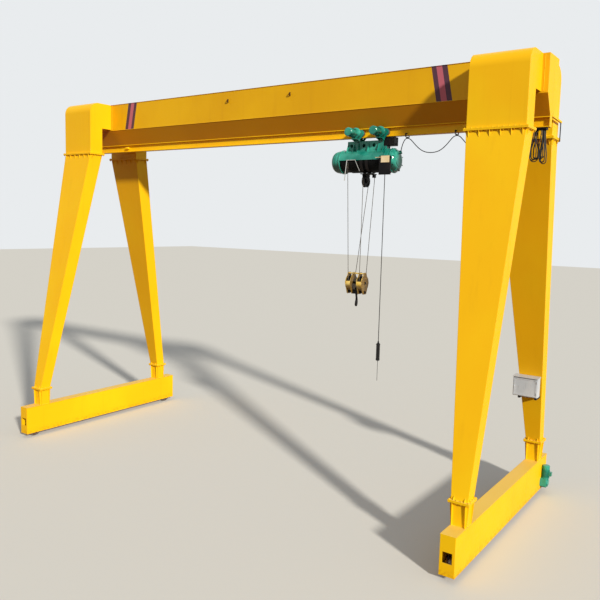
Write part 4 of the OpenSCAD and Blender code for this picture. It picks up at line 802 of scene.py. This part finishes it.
# Tube along a seam whose radius swells and shrinks by the ripple's share, once for every pitch
def weldBead(spec, corners):
    corners = np.asarray(corners, float)
    along = np.arange(0, cornerDistances(corners)[-1], spec["step"])
    swell = np.sin(2 * np.pi * along / spec["pitch"] * spec["beat"])
    radius = spec["leg"] * (1 + spec["ripple"] * swell)
    return tubeAlong(pointsAlong(corners, along), radius, spec["sides"], spec["across"])


# Seams at the foot of each stub, between each head and the girder's web, and along the girder's lower edges
def makeWelds(spec):
    beads = []
    for side in ("left", "right"):
        for end in ("front", "back"):
            low, high = (np.array(corner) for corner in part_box("leg_foot_%s_%s" % (end, side)))
            middle, z = (low + high)[:2] / 2, low[2]
            (x0, y0), (x1, y1) = middle - spec["stub"], middle + spec["stub"]
            beads.append(weldBead(spec, [(x0, y0, z), (x1, y0, z), (x1, y1, z), (x0, y1, z), (x0, y0, z)]))
            low, high = (np.array(corner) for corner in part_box("leg_head_%s_%s" % (end, side)))
            y = math.copysign(spec["web"], low[1])
            for x in (low[0], high[0]):
                beads.append(weldBead(spec, [(x, y, spec["headLow"]), (x, y, high[2] - spec["plate"])]))
    for y in (-spec["web"], spec["web"]):
        beads.append(weldBead(spec, [(x, y, spec["edge"]) for x in (-spec["edgeEnd"], spec["edgeEnd"])]))
    meshPiece("weldBeads", joined(*beads), finishes["crane_yellow_paint"], "gantry")
    return len(beads)


print("weld beads: %d" % makeWelds(welds))


# Pale floor, pale surroundings, one lamp from the right and an even sky. The floor throws light of its shade
# back on the object, and shows its own colour.

stageSpec = {
    "size": 240.0, "floor": "#DADBD8", "shade": "#7A5834", "sky": "#E9ECEE", "skyLight": 0.39,
    "sun": 4.5, "sunSize": 4.0, "sunFrom": (0.819, -0.426, 0.390), "sunHeight": 30, "sunColour": "#FFF6E8",
}


# 1 on the rays that show the surroundings: the camera's own, and those in gloss and glass
def shownRays(node):
    rays = node("LightPath").outputs
    shown = node("Math", (rays["Is Camera Ray"], rays["Is Glossy Ray"]), operation="MAXIMUM")
    return node("Math", (shown, rays["Is Transmission Ray"]), operation="MAXIMUM")


def makeStage(spec):
    half = spec["size"] / 2
    square = np.array([(-half, -half, 0), (half, -half, 0), (half, half, 0), (-half, half, 0)], float)
    mesh = bpy.data.meshes.new("floor")
    mesh.from_pydata(square.tolist(), [], [(0, 1, 2, 3)])
    floor = bpy.data.objects.new("floor", mesh)
    scene.collection.objects.link(floor)
    material = bpy.data.materials.new("paleFloor")
    node = clearedNodes(material)
    colour = laidOver(node, linear(spec["shade"]), shownRays(node), 1.0, spec["floor"])
    node("OutputMaterial", {"Surface": node("BsdfDiffuse", {"Color": colour})})
    mesh.materials.append(material)

    world = bpy.data.worlds.new("sky")
    node = clearedNodes(world)
    even = node("Background", {"Color": (1, 1, 1, 1), "Strength": spec["skyLight"]})
    pale = node("Background", {"Color": linear(spec["sky"]), "Strength": 1.0})
    node("OutputWorld", {"Surface": node("MixShader", (shownRays(node), even, pale))})
    scene.world = world

    lamp = bpy.data.lights.new("sun", "SUN")
    lamp.energy = spec["sun"]
    lamp.angle = math.radians(spec["sunSize"])
    lamp.color = linear(spec["sunColour"])[:3]
    sun = bpy.data.objects.new("sun", lamp)
    sun.matrix_world = standing((0, 0, spec["sunHeight"]), spec["sunFrom"])
    scene.collection.objects.link(sun)


makeStage(stageSpec)
print("stage and light made")
